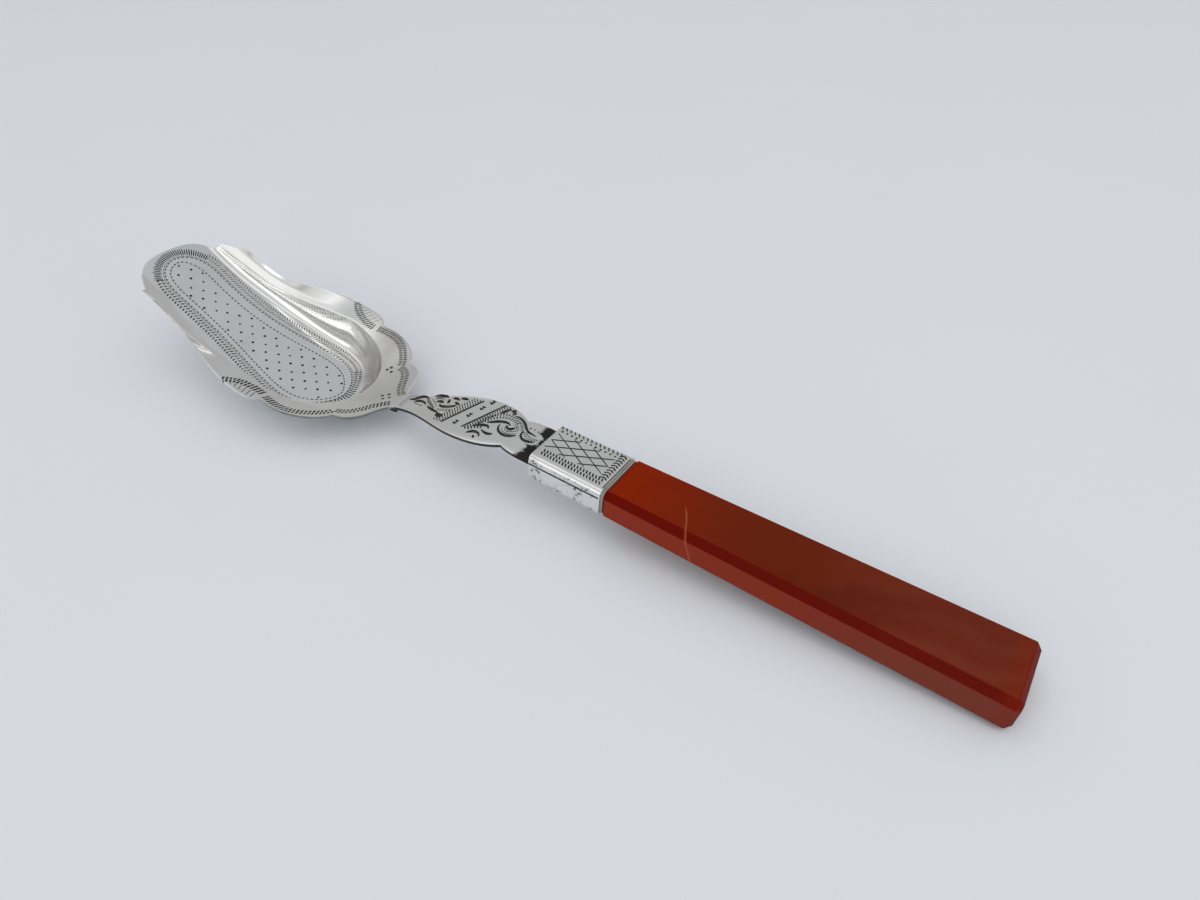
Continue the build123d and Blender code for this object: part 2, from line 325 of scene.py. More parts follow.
def make_silver(name, tarnish, gloss, dents, film_and_shade):
    """Polished silver: share of warm grey, roughness, bump depth in mm, and the function of its nearly black
    film and painted shade.
    """
    material, board = new_material(name)
    place = own_place(board)
    wide = clouds(board, place, cloud_scale)
    stains = clouds(board, place, stain_scale, detail=2.0)
    wiping = clouds(board, place, wiping_scale, detail=2.0, stretch=wiping_stretch)
    warm = ramp(board, wide * 0.7 + stains * 0.3, 0.42, 0.75) * tarnish
    # Nearly black where the piece's function says: painted shade on the bowl's rear wall and the stem's
    # edges, dark film and specks elsewhere.
    film_and_shade_share = film_and_shade(board, place, stains)
    colour = blend(board, warm, silver_bright, silver_warm)
    colour = blend(board, film_and_shade_share, colour, silver_black)
    shine = gloss + stains * 0.03 + wiping * 0.03 + warm * 0.06 + film_and_shade_share * 0.3
    height = clouds(board, place, dent_scale, detail=0.0)
    bump = board.node(
        "ShaderNodeBump", {}, {"Strength": dent_strength, "Distance": dents * mm, "Height": height}
    )
    finish_surface(
        board, {"Base Color": colour, "Metallic": 1.0, "Roughness": shine, "Normal": bump}
    )
    return material


print("silver has its colours")

# %% Film and painted shade on the silver
def steepness(board, low, high):
    """1 on upright metal and 0 on level metal, by the square of how far its normal rises."""
    facing = board.node("ShaderNodeNewGeometry", output=1)
    rise = split(board, facing).out("Z")
    return 1.0 - ramp(board, rise * rise, low, high)


def bowl_painted_shade(board, place, stains):
    """Painted shade and dark reflection on the steep rear wall, thickest in its near corner, and a thin
    darkening on the far flange.
    """
    x = split(board, place)
    y = x.out("Y")
    steep = steepness(board, 0.35, 0.85)
    rear = ramp(board, x, -49.0 * mm, -41.0 * mm)
    near = ramp(board, y * -1.0, -4.0 * mm, 2.0 * mm)
    # Painted shade: the steep rear wall is darkened, most in its near corner.
    wall = steep * rear * (0.3 + near * 0.7) * (0.45 + stains * 0.55)
    flange = (1.0 - steep) * ramp(board, x, -46.0 * mm, -41.0 * mm)
    flange = flange * (1.0 - ramp(board, x, -39.0 * mm, -35.0 * mm) * 0.8)
    far = ramp(board, y, 4.0 * mm, 8.0 * mm)
    return wall + flange * far * 0.36


def stem_edge_shade_and_dark_tail(board, place, stains):
    """Painted shade on the strap's upright edges, and a dark band, with a ragged border, where it enters the
    ferrule.
    """
    x = split(board, place)
    outwards = abs(x.out("Y") - 0.4 * mm)
    corners = ramp(board, outwards, 0.9 * mm, 1.9 * mm) * 1.3 * mm
    ragged = clouds(board, place, 1100.0, detail=4.0) + stains
    tail = ramp(board, x + corners + ragged * 2.4 * mm, 9.1 * mm, 10.35 * mm)
    # Painted shade on the upright edges of the strap, by the direction they face.
    return ramp(board, steepness(board, 0.15, 0.6) * 0.85 + tail * 0.9, 0.05, 0.95)


def ferrule_film(board, place, stains):
    """Dark specks in the worn sides of the ferrule."""
    specks = clouds(board, place, 1500.0, detail=3.0)
    pits = ramp(board, specks * 0.65 + stains * 0.45, 0.57, 0.70)
    return (0.12 + pits * 0.7) * steepness(board, 0.1, 0.5)


bowl_silver = make_silver("bowl_silver", tarnish=0.30, gloss=0.07, dents=0.06, film_and_shade=bowl_painted_shade)
stem_silver = make_silver("stem_silver", tarnish=0.30, gloss=0.12, dents=0.05, film_and_shade=stem_edge_shade_and_dark_tail)
ferrule_silver = make_silver("ferrule_silver", tarnish=0.45, gloss=0.2, dents=0.06, film_and_shade=ferrule_film)
print("silver finishes ready")

# %% [markdown]
# ## Tarnish in the cuts
# A burin leaves a groove with a dark floor, because polish never reaches it. At this size a groove is
# a dark mark with a little shine, so the cuts get their own metal. It is nearly black where tarnish
# fills the groove, and brown, pale or bright where the cut is shallow or rubbed. The pale metal also
# carries painted light on the far side of the floor border.

# %% Finish of the cuts
wear_scale = 800.0


def make_cut(name, dark, light):
    """Metal of a groove, between the colour of its floor and that of its worn edge."""
    material, board = new_material(name)
    wear = clouds(board, own_place(board), wear_scale, detail=4.0)
    colour = blend(board, ramp(board, wear, 0.45, 0.75), dark, light)
    finish_surface(board, {"Base Color": colour, "Metallic": 0.6, "Roughness": 0.38 + wear * 0.2})
    return material


cut_tarnish = make_cut("cut_tarnish", (0.018, 0.016, 0.015), (0.09, 0.083, 0.076))
cut_bright = make_cut("cut_bright", (0.30, 0.29, 0.275), (0.62, 0.60, 0.57))
cut_pale = make_cut("cut_pale", (0.20, 0.19, 0.178), (0.46, 0.445, 0.42))
cut_brown = make_cut("cut_brown", (0.085, 0.077, 0.067), (0.22, 0.205, 0.18))
print("cut finishes ready")

# %% [markdown]
# ## Bowl
# A smith raises this bowl from one sheet: a dished floor, a cove wall, a ledge, and a flange cut into
# lobes. A loft of cross sections says it well, so the bowl is a grid. Stations run round the edge,
# and each station has one profile from the middle of the floor to the rim. The bends are softened,
# because sheet has no sharp folds.

# %% Bowl sizes
sheet = 0.6
bowl_tilt = radians(21.9)
floor_chord = 52.0
floor_sag = 3.1
fan_u = 40.0
crease_front, crease_rear, crease_end = 8.1, 10.8, 12.6
wall_top_front, wall_top_rear, wall_top_end = 8.8, 12.8, 15.6
wall_height_front, wall_height_waist, wall_height_rear, wall_height_end = 2.0, 2.8, 6.8, 5.7
wall_hollow = 0.6
ledge_width, ledge_angle = 1.8, 15.0
lip_angle_tip, lip_angle_waist, lip_angle_ear, flange_angle_rear = 24.0, 48.0, 8.0, 31.0
tongue_front, tongue_corner = (0.5, 0.0), (2.9, 7.6)
wing_root, wing_tip = (8.6, 10.9), (9.0, 12.0)
waist, ear = (22.0, 13.0), (40.0, 17.44)
cusp_front, lobe, cusp_rear = (45.5, 15.6), (51.6, 15.2), (57.4, 10.1)
heel_lobe, neck = (61.3, 8.0), (64.6, 2.3)
print("bowl", neck[0], "mm long and", 2 * ear[1], "mm wide")

# %% [markdown]
# ### Rim
# The rim is drawn flat, for one side, as smooth curves that meet in sharp cusps. A cubic curve
# through a few points does it, because a smith's template has the same few turning points.

# %% Rim
def ease(value, start, end):
    """0 before start, 1 after end, smooth between."""
    share = min(max((value - start) / (end - start), 0.0), 1.0)
    return share * share * (3 - 2 * share)


def floor_height(u):
    """Dish of the floor, which is zero at both ends of its chord."""
    half = floor_chord / 2
    return floor_sag * (((u - half) / half) ** 2 - 1)


def smooth_curve(points, start, end, count=160):
    """Cubic curve through points, with the directions start and end at its two ends."""
    points = np.array(points, float)
    steps = np.hypot(*np.diff(points, axis=0).T)
    knots = np.concatenate([[0], np.cumsum(steps)])
    size = len(points)
    system = np.zeros((size, size))
    sides = np.zeros((size, 2))
    system[0, 0] = system[-1, -1] = 1
    sides[0] = np.array(start) / np.hypot(*start)
    sides[-1] = np.array(end) / np.hypot(*end)
    for i in range(1, size - 1):
        before, after = steps[i - 1], steps[i]
        system[i, i - 1:i + 2] = after, 2 * (before + after), before
        arriving, leaving = points[i] - points[i - 1], points[i + 1] - points[i]
        sides[i] = 3 * (arriving * after / before + leaving * before / after)
    slopes = np.linalg.solve(system, sides)
    along = np.linspace(0, knots[-1], count)
    piece = np.clip(np.searchsorted(knots, along, side="right") - 1, 0, size - 2)
    width = steps[piece][:, None]
    t = ((along - knots[piece]) / steps[piece])[:, None]
    rise, fall = t * t * (3 - 2 * t), 1 - t * t * (3 - 2 * t)
    return (
        fall * points[piece] + rise * points[piece + 1]
        + t * (1 - t) ** 2 * width * slopes[piece] - t * t * (1 - t) * width * slopes[piece + 1]
    )


front_edge = np.vstack([
    smooth_curve([tongue_front, tongue_corner], (0, 1), (1, 0.75)),
    smooth_curve([tongue_corner, wing_root], (1, 0.6), (1, 0.3)),
    [wing_tip],
])
wing_edge = smooth_curve([wing_tip, waist, ear, cusp_front], (1, 0.02), (0.35, -1))
lobe_edge = smooth_curve([cusp_front, lobe, cusp_rear], (1, 0.25), (0.3, -1))
heel_edge = smooth_curve([cusp_rear, heel_lobe, neck], (1, 0.1), (1, -0.25))
rear_edge = np.vstack([wing_edge, lobe_edge, heel_edge, [(neck[0], 0.0)]])
rear_turn = np.arctan2(rear_edge[:, 0] - fan_u, rear_edge[:, 1])
rear_reach = np.hypot(rear_edge[:, 0] - fan_u, rear_edge[:, 1])
print("rim drawn with", len(front_edge) + len(rear_edge), "points per side")

# %% [markdown]
# ### Profile of the sheet
# One profile is a polyline with a dished floor, a bowed wall, a ledge and a lip. A short moving
# average along its length rounds each bend, with a wider window at the foot of the wall than at its
# top.

# %% Sharp profile
floor_points, wall_points = 24, 14
crease_from, top_from, top_power = 8.0, 4.0, 1.3
waist_run, climb_run = (0.0, 14.0), (17.0, 42.0)
lip_from, lip_until = 6.0, 18.0
ledge_narrowing, ledge_most = 0.45, 0.8


def sharp_profile(u, turn, rim):
    """Distance from the middle line and height, from the floor's middle to the rim, with sharp bends."""
    sweep = sin(turn) ** 2
    crease_side = crease_front + (crease_rear - crease_front) * ease(u, crease_from, fan_u)
    spread = max((u - top_from) / (fan_u - top_from), 0.0) ** top_power
    top_side = wall_top_front + (wall_top_rear - wall_top_front) * spread
    crease = (crease_side ** 2 * (1 - sweep) + crease_end ** 2 * sweep) ** 0.5
    top = (top_side ** 2 * (1 - sweep) + wall_top_end ** 2 * sweep) ** 0.5
    rise = wall_height_front + (wall_height_waist - wall_height_front) * ease(u, *waist_run)
    rise += (wall_height_rear - wall_height_waist) * ease(u, *climb_run)
    high = (floor_height(u) + rise) * (1 - sweep) + wall_height_end * sweep
    opening = ease(u, lip_until, fan_u)
    lip = lip_angle_tip + (lip_angle_waist - lip_angle_tip) * ease(u, lip_from, lip_until)
    lip += (lip_angle_ear - lip_angle_waist) * opening
    lip = lip + (flange_angle_rear - lip) * sin(turn)
    ledge_rise = min(ledge_angle, lip) if turn == 0 else lip
    ledge = min(ledge_width * (1 - ledge_narrowing * opening), ledge_most * (rim - top))

    floor_d = np.linspace(0, crease, floor_points)
    floor_h = floor_height(u + sin(turn) * floor_d)
    foot, head = np.array([crease, floor_h[-1]]), np.array([top, high])
    along = (head - foot) / np.hypot(*(head - foot))
    belly = (foot + head) / 2 + np.array([along[1], -along[0]]) * 2 * wall_hollow
    t = np.linspace(0, 1, wall_points)[1:, None]
    wall = (1 - t) ** 2 * foot + 2 * t * (1 - t) * belly + t * t * head
    bend = head + np.array([ledge, ledge * tan(radians(ledge_rise))])
    edge = bend + np.array([rim - bend[0], (rim - bend[0]) * tan(radians(lip))])
    d = np.concatenate([floor_d, wall[:, 0], [bend[0], edge[0]]])
    h = np.concatenate([floor_h, wall[:, 1], [bend[1], edge[1]]])
    return d, h


print("points in a sharp profile:", len(sharp_profile(20.0, 0.0, 13.0)[0]))

# %% Soft profile
window = np.array([-1.6, -1.1, -0.6, -0.2, 0.2, 0.6, 1.1, 1.6])
window_weight = np.exp(-0.5 * window ** 2)
window_weight /= window_weight.sum()
foot_steps = np.array([-1.3, -0.95, -0.65, -0.4, -0.2, 0.0, 0.2, 0.4, 0.65])
top_steps = np.array([-0.36, -0.2, -0.1, 0.0, 0.1, 0.2, 0.36])
bend_steps = np.array([-0.7, -0.4, -0.2, 0.0, 0.2, 0.4, 0.7])
foot_blur, wall_blur, top_blur, bend_blur = 0.42, 0.2, 0.13, 0.22
full_wall, full_ledge, full_lip = 1.6, 0.8, 1.2
floor_stops, wall_stops, lip_stops = 16, 10, 10


def sheet_profile(u, turn, rim):
    """The profile with soft bends. Where a stretch is shorter than its full length, its steps close up."""
    d, h = sharp_profile(u, turn, rim)
    length = np.concatenate([[0], np.cumsum(np.hypot(np.diff(d), np.diff(h)))])
    at_foot = length[floor_points - 1]
    at_top, at_bend, at_rim = length[-3:]
    wall_length = at_top - at_foot
    wall_run = min(wall_length / full_wall, 1.0)
    ledge_run = min((at_bend - at_top) / full_ledge, 1.0)
    lip_run = min((at_rim - at_bend) / full_lip, 1.0)
    up_wall = np.linspace(foot_steps[-1] * wall_run, wall_length + top_steps[0] * wall_run, wall_stops)
    stops = [
        (np.linspace(0, at_foot + foot_steps[0], floor_stops)[:-1], 0.0),
        (at_foot + foot_steps * wall_run, foot_blur),
        (at_foot + up_wall[1:-1], wall_blur),
        (at_top + top_steps * np.where(top_steps < 0, wall_run, ledge_run), top_blur),
        (at_bend + bend_steps * np.where(bend_steps < 0, 0.5 * ledge_run, lip_run), bend_blur),
        (np.linspace(at_bend + bend_steps[-1] * lip_run, at_rim, lip_stops)[1:], 0.0),
    ]
    where = np.concatenate([places for places, _ in stops])
    blur = np.concatenate([np.full(len(places), width) for places, width in stops])
    spread = np.clip(where[:, None] + blur[:, None] * window, 0, at_rim)
    return np.interp(spread, length, d) @ window_weight, np.interp(spread, length, h) @ window_weight


profile_size = len(sheet_profile(20.0, 0.0, 13.0)[0])
print("points in a soft profile:", profile_size)

# %% [markdown]
# ### Stations of the bowl
# The first station is the open front edge itself, and the next ones straighten until they reach the
# rounded rear, where they turn like a fan. Each point of the front station lies where its profile
# meets the front edge, which a few rounds of trial find.

# %% Stations of the bowl
side_stations = 64
rear_stations = 84
station_bias = 1.15
trial_start, trial_rounds = 5.0, 30


def front_u(v):
    """Where the front edge is, at a distance from the middle line."""
    return float(np.interp(v, front_edge[:, 1], front_edge[:, 0]))


def wing_v(u):
    """How far out the rim of the wing is."""
    return float(np.interp(u, wing_edge[:, 0], wing_edge[:, 1]))


def side_point(u, j):
    """One point of a straight station."""
    d, h = sheet_profile(u, 0.0, wing_v(max(u, wing_tip[0])))
    return d[j], h[j]


start_u = []
for j in range(profile_size):
    u = trial_start
    for _ in range(trial_rounds):
        u = 0.5 * u + 0.5 * front_u(side_point(u, j)[0])
    start_u.append(u)

stations = []
for share in np.linspace(0, 1, side_stations) ** station_bias:
    row = []
    for j in range(profile_size):
        u = start_u[j] + (fan_u - start_u[j]) * share
        d, h = side_point(u, j)
        row.append((u, d, h))
    stations.append(row)

cusp_turns = [np.arctan2(point[0] - fan_u, point[1]) for point in (cusp_front, cusp_rear, neck)]
turns = np.sort(np.concatenate([np.linspace(0, pi / 2, rear_stations)[1:], cusp_turns]))
for turn in turns:
    reach = float(np.interp(turn, rear_turn, rear_reach))
    d, h = sheet_profile(fan_u, float(turn), reach)
    stations.append([(fan_u + sin(turn) * a, cos(turn) * a, b) for a, b in zip(d, h)])
print("stations per side:", len(stations))

# %% [markdown]
# ### Place of the bowl
# The bowl is drawn level and rests tilted. Its front edge is matched to the box of the CAD node, so
# both models share one place.

# %% Place of the bowl
node_low, node_high = (np.array(corner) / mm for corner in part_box("scoop_bowl"))
front_at = tongue_front[0]
front_top = floor_height(front_at)
front_under = front_top - sheet
origin_x = node_low[0] - (front_at * cos(bowl_tilt) + front_under * sin(bowl_tilt))
origin_z = node_high[2] - (front_top * cos(bowl_tilt) - front_at * sin(bowl_tilt))


def bowl_place(u, v, h):
    """Point of the bowl's own frame, set on the table, in metres."""
    x = u * cos(bowl_tilt) + h * sin(bowl_tilt) + origin_x
    z = h * cos(bowl_tilt) - u * sin(bowl_tilt) + origin_z
    return Vector((x * mm, v * mm, z * mm))


print("bowl's own zero at", round(origin_x, 2), round(origin_z, 2))

# %% [markdown]
# ### Mesh of the bowl
# The half is mirrored, joined and thickened to the sheet, and its edges get a small bevel. Modifiers
# do the last two, and the finished mesh is kept without them.

# %% Helpers for meshes
def new_piece(name, vertices, faces, material):
    """Mesh object with one material, smooth, at the origin."""
    mesh = bpy.data.meshes.new(name)
    mesh.from_pydata([tuple(point) for point in vertices], [], faces)
    mesh.materials.append(material)
    mesh.shade_smooth()
    return add_object(name, mesh)


def weld(piece, distance):
    """Joins doubled points and turns the faces one way."""
    work = bmesh.new()
    work.from_mesh(piece.data)
    bmesh.ops.remove_doubles(work, verts=work.verts, dist=distance)
    bmesh.ops.dissolve_degenerate(work, edges=work.edges, dist=0.1 * distance)
    bmesh.ops.recalc_face_normals(work, faces=work.faces)
    work.to_mesh(piece.data)
    work.free()


def settle(piece):
    """Replaces a piece's mesh by the evaluated one and drops its modifiers."""
    bpy.context.view_layer.update()
    ready = piece.evaluated_get(bpy.context.evaluated_depsgraph_get())
    mesh = bpy.data.meshes.new_from_object(ready)
    piece.modifiers.clear()
    piece.data = mesh
    mesh.name = piece.name


def round_edges(piece, width, segments, angle):
    """Bevels the edges that are sharper than an angle in degrees."""
    bevel = piece.modifiers.new("edges", "BEVEL")
    bevel.width = width * mm
    bevel.segments = segments
    bevel.limit_method = "ANGLE"
    bevel.angle_limit = radians(angle)


print("helpers for meshes ready")

# %% Mesh of the bowl
bowl_weld = 0.01
edge_round, edge_segments, edge_angle = 0.13, 2, 60

count, size = len(stations), profile_size
vertices = [bowl_place(u, v, h) for row in stations for u, v, h in row]
vertices += [bowl_place(u, -v, h) for row in stations for u, v, h in row]
faces = []
for i in range(count - 1):
    for j in range(size - 1):
        a, b = i * size + j, (i + 1) * size + j
        faces.append((a, b, b + 1, a + 1))
        faces.append(tuple(count * size + index for index in (a, a + 1, b + 1, b)))
bowl = new_piece("silver_bowl", vertices, faces, bowl_silver)
weld(bowl, bowl_weld * mm)
if sum(face.normal.z * face.area for face in bowl.data.polygons) < 0:
    bowl.data.flip_normals()
thicken = bowl.modifiers.new("sheet", "SOLIDIFY")
thicken.thickness = sheet * mm
thicken.offset = -1
thicken.use_even_offset = True
thicken.thickness_clamp = 0.9
round_edges(bowl, edge_round, edge_segments, edge_angle)
settle(bowl)
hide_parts("scoop_bowl")
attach(bowl, "root")
print("bowl faces:", len(bowl.data.polygons))

# %% [markdown]
# ## Stem
# The stem is a flat strap of leaf outline, filed from thicker silver and arched. Its front tongue is
# soldered under the flange. A strap is a row of cross sections with rounded edges, so two short grids
# make it.

# %% Lines of the stem
stem_thick = 0.8
stem_length = 33.1
stem_round = 0.28
stem_slim, stem_wide = (8.0, 3.95), (15.8, 5.95)
stem_notch, stem_tail_half = (26.4, 4.0), 4.7
stem_crown, stem_crown_at = 9.9, 18.0
stem_lap = 4.6
stem_launch, stem_tail_fall = 2.2, 0.12
ferrule_axis_height, stem_seat = 8.95, 0.75

neck_height = wall_height_end + (neck[0] - fan_u - wall_top_end) * tan(radians(flange_angle_rear))
neck_point = bowl_place(neck[0], 0.0, neck_height) / mm
neck_slope = radians(flange_angle_rear) - bowl_tilt
leaf_edge = np.vstack([
    smooth_curve([(0, neck[1]), stem_slim, stem_wide, stem_notch], (1, 0.1), (1, -0.75)),
    smooth_curve([stem_notch, (stem_length, stem_tail_half)], (1, 0.45), (1, 0)),
])
stem_top = smooth_curve(
    [(0, neck_point.z), (stem_crown_at, stem_crown), (stem_length, ferrule_axis_height + stem_seat)],
    (cos(neck_slope), stem_launch * sin(neck_slope)), (1, -stem_tail_fall),
)
print("stem rises to", round(stem_top[:, 1].max(), 2), "mm")

# %% Sections of the stem
flat_points, round_points = 9, 7


def strap_section(x, half_width, top, thick):
    """Ring of points across a strap, from the near edge over the top."""
    flat = np.linspace(-1, 1, flat_points) * (half_width - stem_round)
    arc = np.linspace(pi / 2, -pi / 2, round_points)[1:-1]
    ring = [(y, top) for y in flat]
    ring += [(flat[-1] + stem_round * cos(a), top - thick / 2 + thick / 2 * sin(a)) for a in arc]
    ring += [(y, top - thick) for y in flat[::-1]]
    ring += [(flat[0] - stem_round * cos(a), top - thick / 2 - thick / 2 * sin(a)) for a in arc]
    return [Vector((x, y, z)) * mm for y, z in ring]


def tube_faces(rings, size, start=0):
    """Quads between neighbouring rings, with both ends closed."""
    faces = [tuple(range(start + size - 1, start - 1, -1))]
    for i in range(rings - 1):
        for j in range(size):
            a, b = start + i * size, start + (i + 1) * size
            k = (j + 1) % size
            faces.append((a + j, a + k, b + k, b + j))
    last = start + (rings - 1) * size
    faces.append(tuple(range(last, last + size)))
    return faces


print("points in a section:", len(strap_section(0.0, 1.0, 1.0, stem_thick)))

# %% Mesh of the stem
strap_rings, lap_count = 120, 14
lap_start, lap_half = 0.15, 0.05
lap_sink = 0.5 * sheet
stem_weld, stem_sharp = 0.002, 50

strap_places = np.unique(np.concatenate([np.linspace(0, stem_length, strap_rings), [stem_notch[0]]]))
rings = []
for along in strap_places:
    width = float(np.interp(along, leaf_edge[:, 0], leaf_edge[:, 1]))
    top = float(np.interp(along, stem_top[:, 0], stem_top[:, 1]))
    rings.append(strap_section(neck_point.x + along, width, top, stem_thick))
ring_size = len(rings[0])
vertices = [point for ring in rings for point in ring]
faces = tube_faces(len(rings), ring_size)

nose_edge = smooth_curve([(-stem_lap, 0.0), (0, neck[1])], (0, 1), (1, 0.1))
lap_rings = []
for along in np.linspace(-stem_lap + lap_start, 0.0, lap_count):
    width = max(float(np.interp(along, nose_edge[:, 0], nose_edge[:, 1])), stem_round + lap_half)
    top = neck_point.z + along * tan(neck_slope) - lap_sink
    lap_rings.append(strap_section(neck_point.x + along, width, top, stem_thick + lap_sink))
faces += tube_faces(len(lap_rings), ring_size, start=len(vertices))
vertices += [point for ring in lap_rings for point in ring]
stem = new_piece("leaf_stem", vertices, faces, stem_silver)
weld(stem, stem_weld * mm)
stem.data.set_sharp_from_angle(angle=radians(stem_sharp))
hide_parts("stem")
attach(stem, "root")
print("stem faces:", len(stem.data.polygons))

# %% [markdown]
# ## Ferrule
# The ferrule is a folded sleeve with a plate in its front end. Its planes and rounds are right in the
# solid, so the nodes stay and only take a worn, pitted silver.

# %% Ferrule
def dress(mesh, material):
    """Gives a mesh one material, in place of those it has."""
    mesh.materials.clear()
    mesh.materials.append(material)


for name in ("ferrule_sleeve", "ferrule_front_plate", "tang_pin"):
    dress(nodes[name].data, ferrule_silver)

# %% [markdown]
# ## Agate
# Cut agate looks like dark honey: light enters, turns red and comes out again, and faint bands cross
# the bar. Subsurface scattering with a red radius gives the depth, sine waves bent by noise give the
# layers, and a thin pale line stands for a healed crack across the near side of the bar.

# %% Agate colours
agate_amber = (0.215, 0.014, 0.0005)
agate_brown = (0.122, 0.013, 0.003)
agate_plum = (0.140, 0.024, 0.012)
agate_chamfer_shade = (0.108, 0.002, 0.0002)
agate_light = (0.21, 0.040, 0.016)
agate_dusk = (0.075, 0.008, 0.003)
agate_lit_side = (0.255, 0.034, 0.017)
agate_lit_side_tail = (0.185, 0.042, 0.029)
vein_colour = (0.62, 0.20, 0.08)
print("agate turns from", agate_amber, "to", agate_plum)

# %% Layers of the agate
middle_from, middle_until = 30.0, 58.0
tail_from, tail_until = 52.0, 78.0
tip_from, tip_until = 83.5, 87.0
wide_wave, fine_wave = 2.1, 9.0
layers_along, layers_across, layers_up, layers_drift = 62.0, 105.0, 60.0, 3.2
drift_scale = 45.0

agate, board = new_material("red_agate")
place = own_place(board)
x = split(board, place)
y, z = x.out("Y"), x.out("Z")
drift = clouds(board, place, drift_scale, detail=2.0)
layers = x * layers_along - y * layers_across + z * layers_up + drift * layers_drift


def wave(board, value):
    """Sine wave between 0 and 1."""
    return board.node("ShaderNodeMath", {"operation": "SINE"}, {0: value}) * 0.5 + 0.5


bands = wave(board, layers * wide_wave)
fine = wave(board, layers * fine_wave)
middle = ramp(board, x + drift * 0.012, middle_from * mm, middle_until * mm)
tailward = ramp(board, x, tail_from * mm, tail_until * mm)
body = blend(board, middle, agate_amber, agate_brown)
body = blend(board, tailward, body, agate_plum)
body = blend(board, (1.0 - bands) * (0.04 + tailward * 0.35), body, agate_light)
body = blend(board, fine * 0.45 * tailward, body, agate_brown)
body = blend(board, ramp(board, bands, 0.4, 0.9) * middle * (1.0 - tailward) * 0.45, body, agate_dusk)
print("agate has its layers")

# %% Painted shade and light on the agate's facets
all_axes = (1, 1, 1)
chamfer_shade_share, flank_light_share, tip_share = 0.9, 0.75, 0.35

# Painted shade: the chamfers, which face two ways at once, are darkened towards a deep red.
facing = board.node("ShaderNodeNewGeometry", output=3)
slant = board.node("ShaderNodeVectorMath", {"operation": "ABSOLUTE"}, {0: facing})
slant = board.node("ShaderNodeVectorMath", {"operation": "DOT_PRODUCT"}, {0: slant, 1: all_axes}, output=1)
chamfer_shade = ramp(board, slant, 1.10, 1.34)
body = blend(board, chamfer_shade * chamfer_shade_share, body, agate_chamfer_shade)
# Painted light: faces turned to the sides are paler and pinker, more so towards the tail.
sideways = split(board, facing).out("Y")
flank_light = blend(board, tailward, agate_lit_side, agate_lit_side_tail)
body = blend(board, ramp(board, sideways * sideways, 0.6, 0.95) * flank_light_share, body, flank_light)
body = blend(board, ramp(board, x, tip_from * mm, tip_until * mm) * tip_share, body, agate_amber)
print("agate has its darker chamfers and paler flanks")

# %% Vein and polish of the agate
vein_x, vein_width, vein_share = 35.55, 0.26, 0.24
vein_lean, vein_bow, vein_drop = 0.72, 40.0, 0.277
vein_ragged, ragged_scale = 0.3, 500.0
bar_top = 9.74
polish_scale, ripple_scale, ripple_depth = 700.0, 160.0, 0.05

bow = vein_x * mm - y * vein_lean - y * y * vein_bow + (bar_top * mm - z) * vein_drop
ragged = clouds(board, place, ragged_scale, detail=1.0) * (vein_ragged * mm) - 0.5 * vein_ragged * mm
vein = 1.0 - ramp(board, abs(x - bow + ragged), 0.2 * vein_width * mm, vein_width * mm)
vein = vein * ramp(board, y * -1.0, -0.4 * mm, 1.6 * mm)
body = blend(board, vein * vein_share, body, vein_colour)
polish = clouds(board, place, polish_scale)
ripples = clouds(board, place, ripple_scale)
waves = board.node(
    "ShaderNodeBump", {}, {"Strength": 0.12, "Distance": ripple_depth * mm, "Height": ripples}
)
finish_surface(board, {
    "Base Color": body,
    "Roughness": 0.08 + polish * 0.06,
    "Specular IOR Level": 0.04,
    "Subsurface Weight": 0.25,
    "Subsurface Radius": (1.0, 0.12, 0.05),
    "Subsurface Scale": 1.5 * mm,
    "Normal": waves,
})
print("agate ready")

# %% [markdown]
# ## Handle
# The bar is cut with flat faces and long bevels, then polished, which rounds every edge a little. A
# copy of the solid keeps its faces, and a narrow bevel makes the edges catch the light.

# %% Handle
bar_weld, bar_flat = 0.001, 1
polish_round, polish_segments, polish_angle = 0.22, 3, 25

handle_mesh = nodes["agate_handle"].data.copy()
handle_mesh.name = "agate_bar"
dress(handle_mesh, agate)
handle = add_object("agate_bar", handle_mesh)
work = bmesh.new()
work.from_mesh(handle_mesh)
bmesh.ops.remove_doubles(work, verts=work.verts, dist=bar_weld * mm)
bmesh.ops.dissolve_limit(work, angle_limit=radians(bar_flat), verts=work.verts, edges=work.edges)
work.to_mesh(handle_mesh)
work.free()
round_edges(handle, polish_round, polish_segments, polish_angle)
settle(handle)
handle.data.shade_flat()
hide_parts("agate_handle")
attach(handle, "root")
print("handle faces:", len(handle.data.polygons))

# %% [markdown]
# ## Cement
# The bar is set in pale cement, and a thin lip of it shows behind the ferrule, grey with old polish.

# %% Cement
cement_dark, cement_pale, cement_stain = (0.14, 0.135, 0.12), (0.36, 0.35, 0.32), (0.20, 0.17, 0.14)
grit_scale, grit_depth, cement_stain_scale = 1500.0, 0.06, 260.0

cement, board = new_material("old_cement")
place = own_place(board)
grit = clouds(board, place, grit_scale, detail=5.0)
stain = clouds(board, place, cement_stain_scale)
colour = blend(board, grit, cement_dark, cement_pale)
colour = blend(board, ramp(board, stain, 0.5, 0.75) * 0.7, colour, cement_stain)
rough = board.node("ShaderNodeBump", {}, {"Strength": 0.5, "Distance": grit_depth * mm, "Height": grit})
finish_surface(board, {"Base Color": colour, "Roughness": 0.75 + grit * 0.15, "Normal": rough})
dress(nodes["handle_cement"].data, cement)
print("cement ready")

# %% [markdown]
# ## Laying cuts on a surface
# The ornament is drawn flat, as a smith draws it on the sheet before cutting. Each point is then
# dropped on the metal with a ray, and keeps the direction that the metal faces there, so a cut can
# lie flush with it.

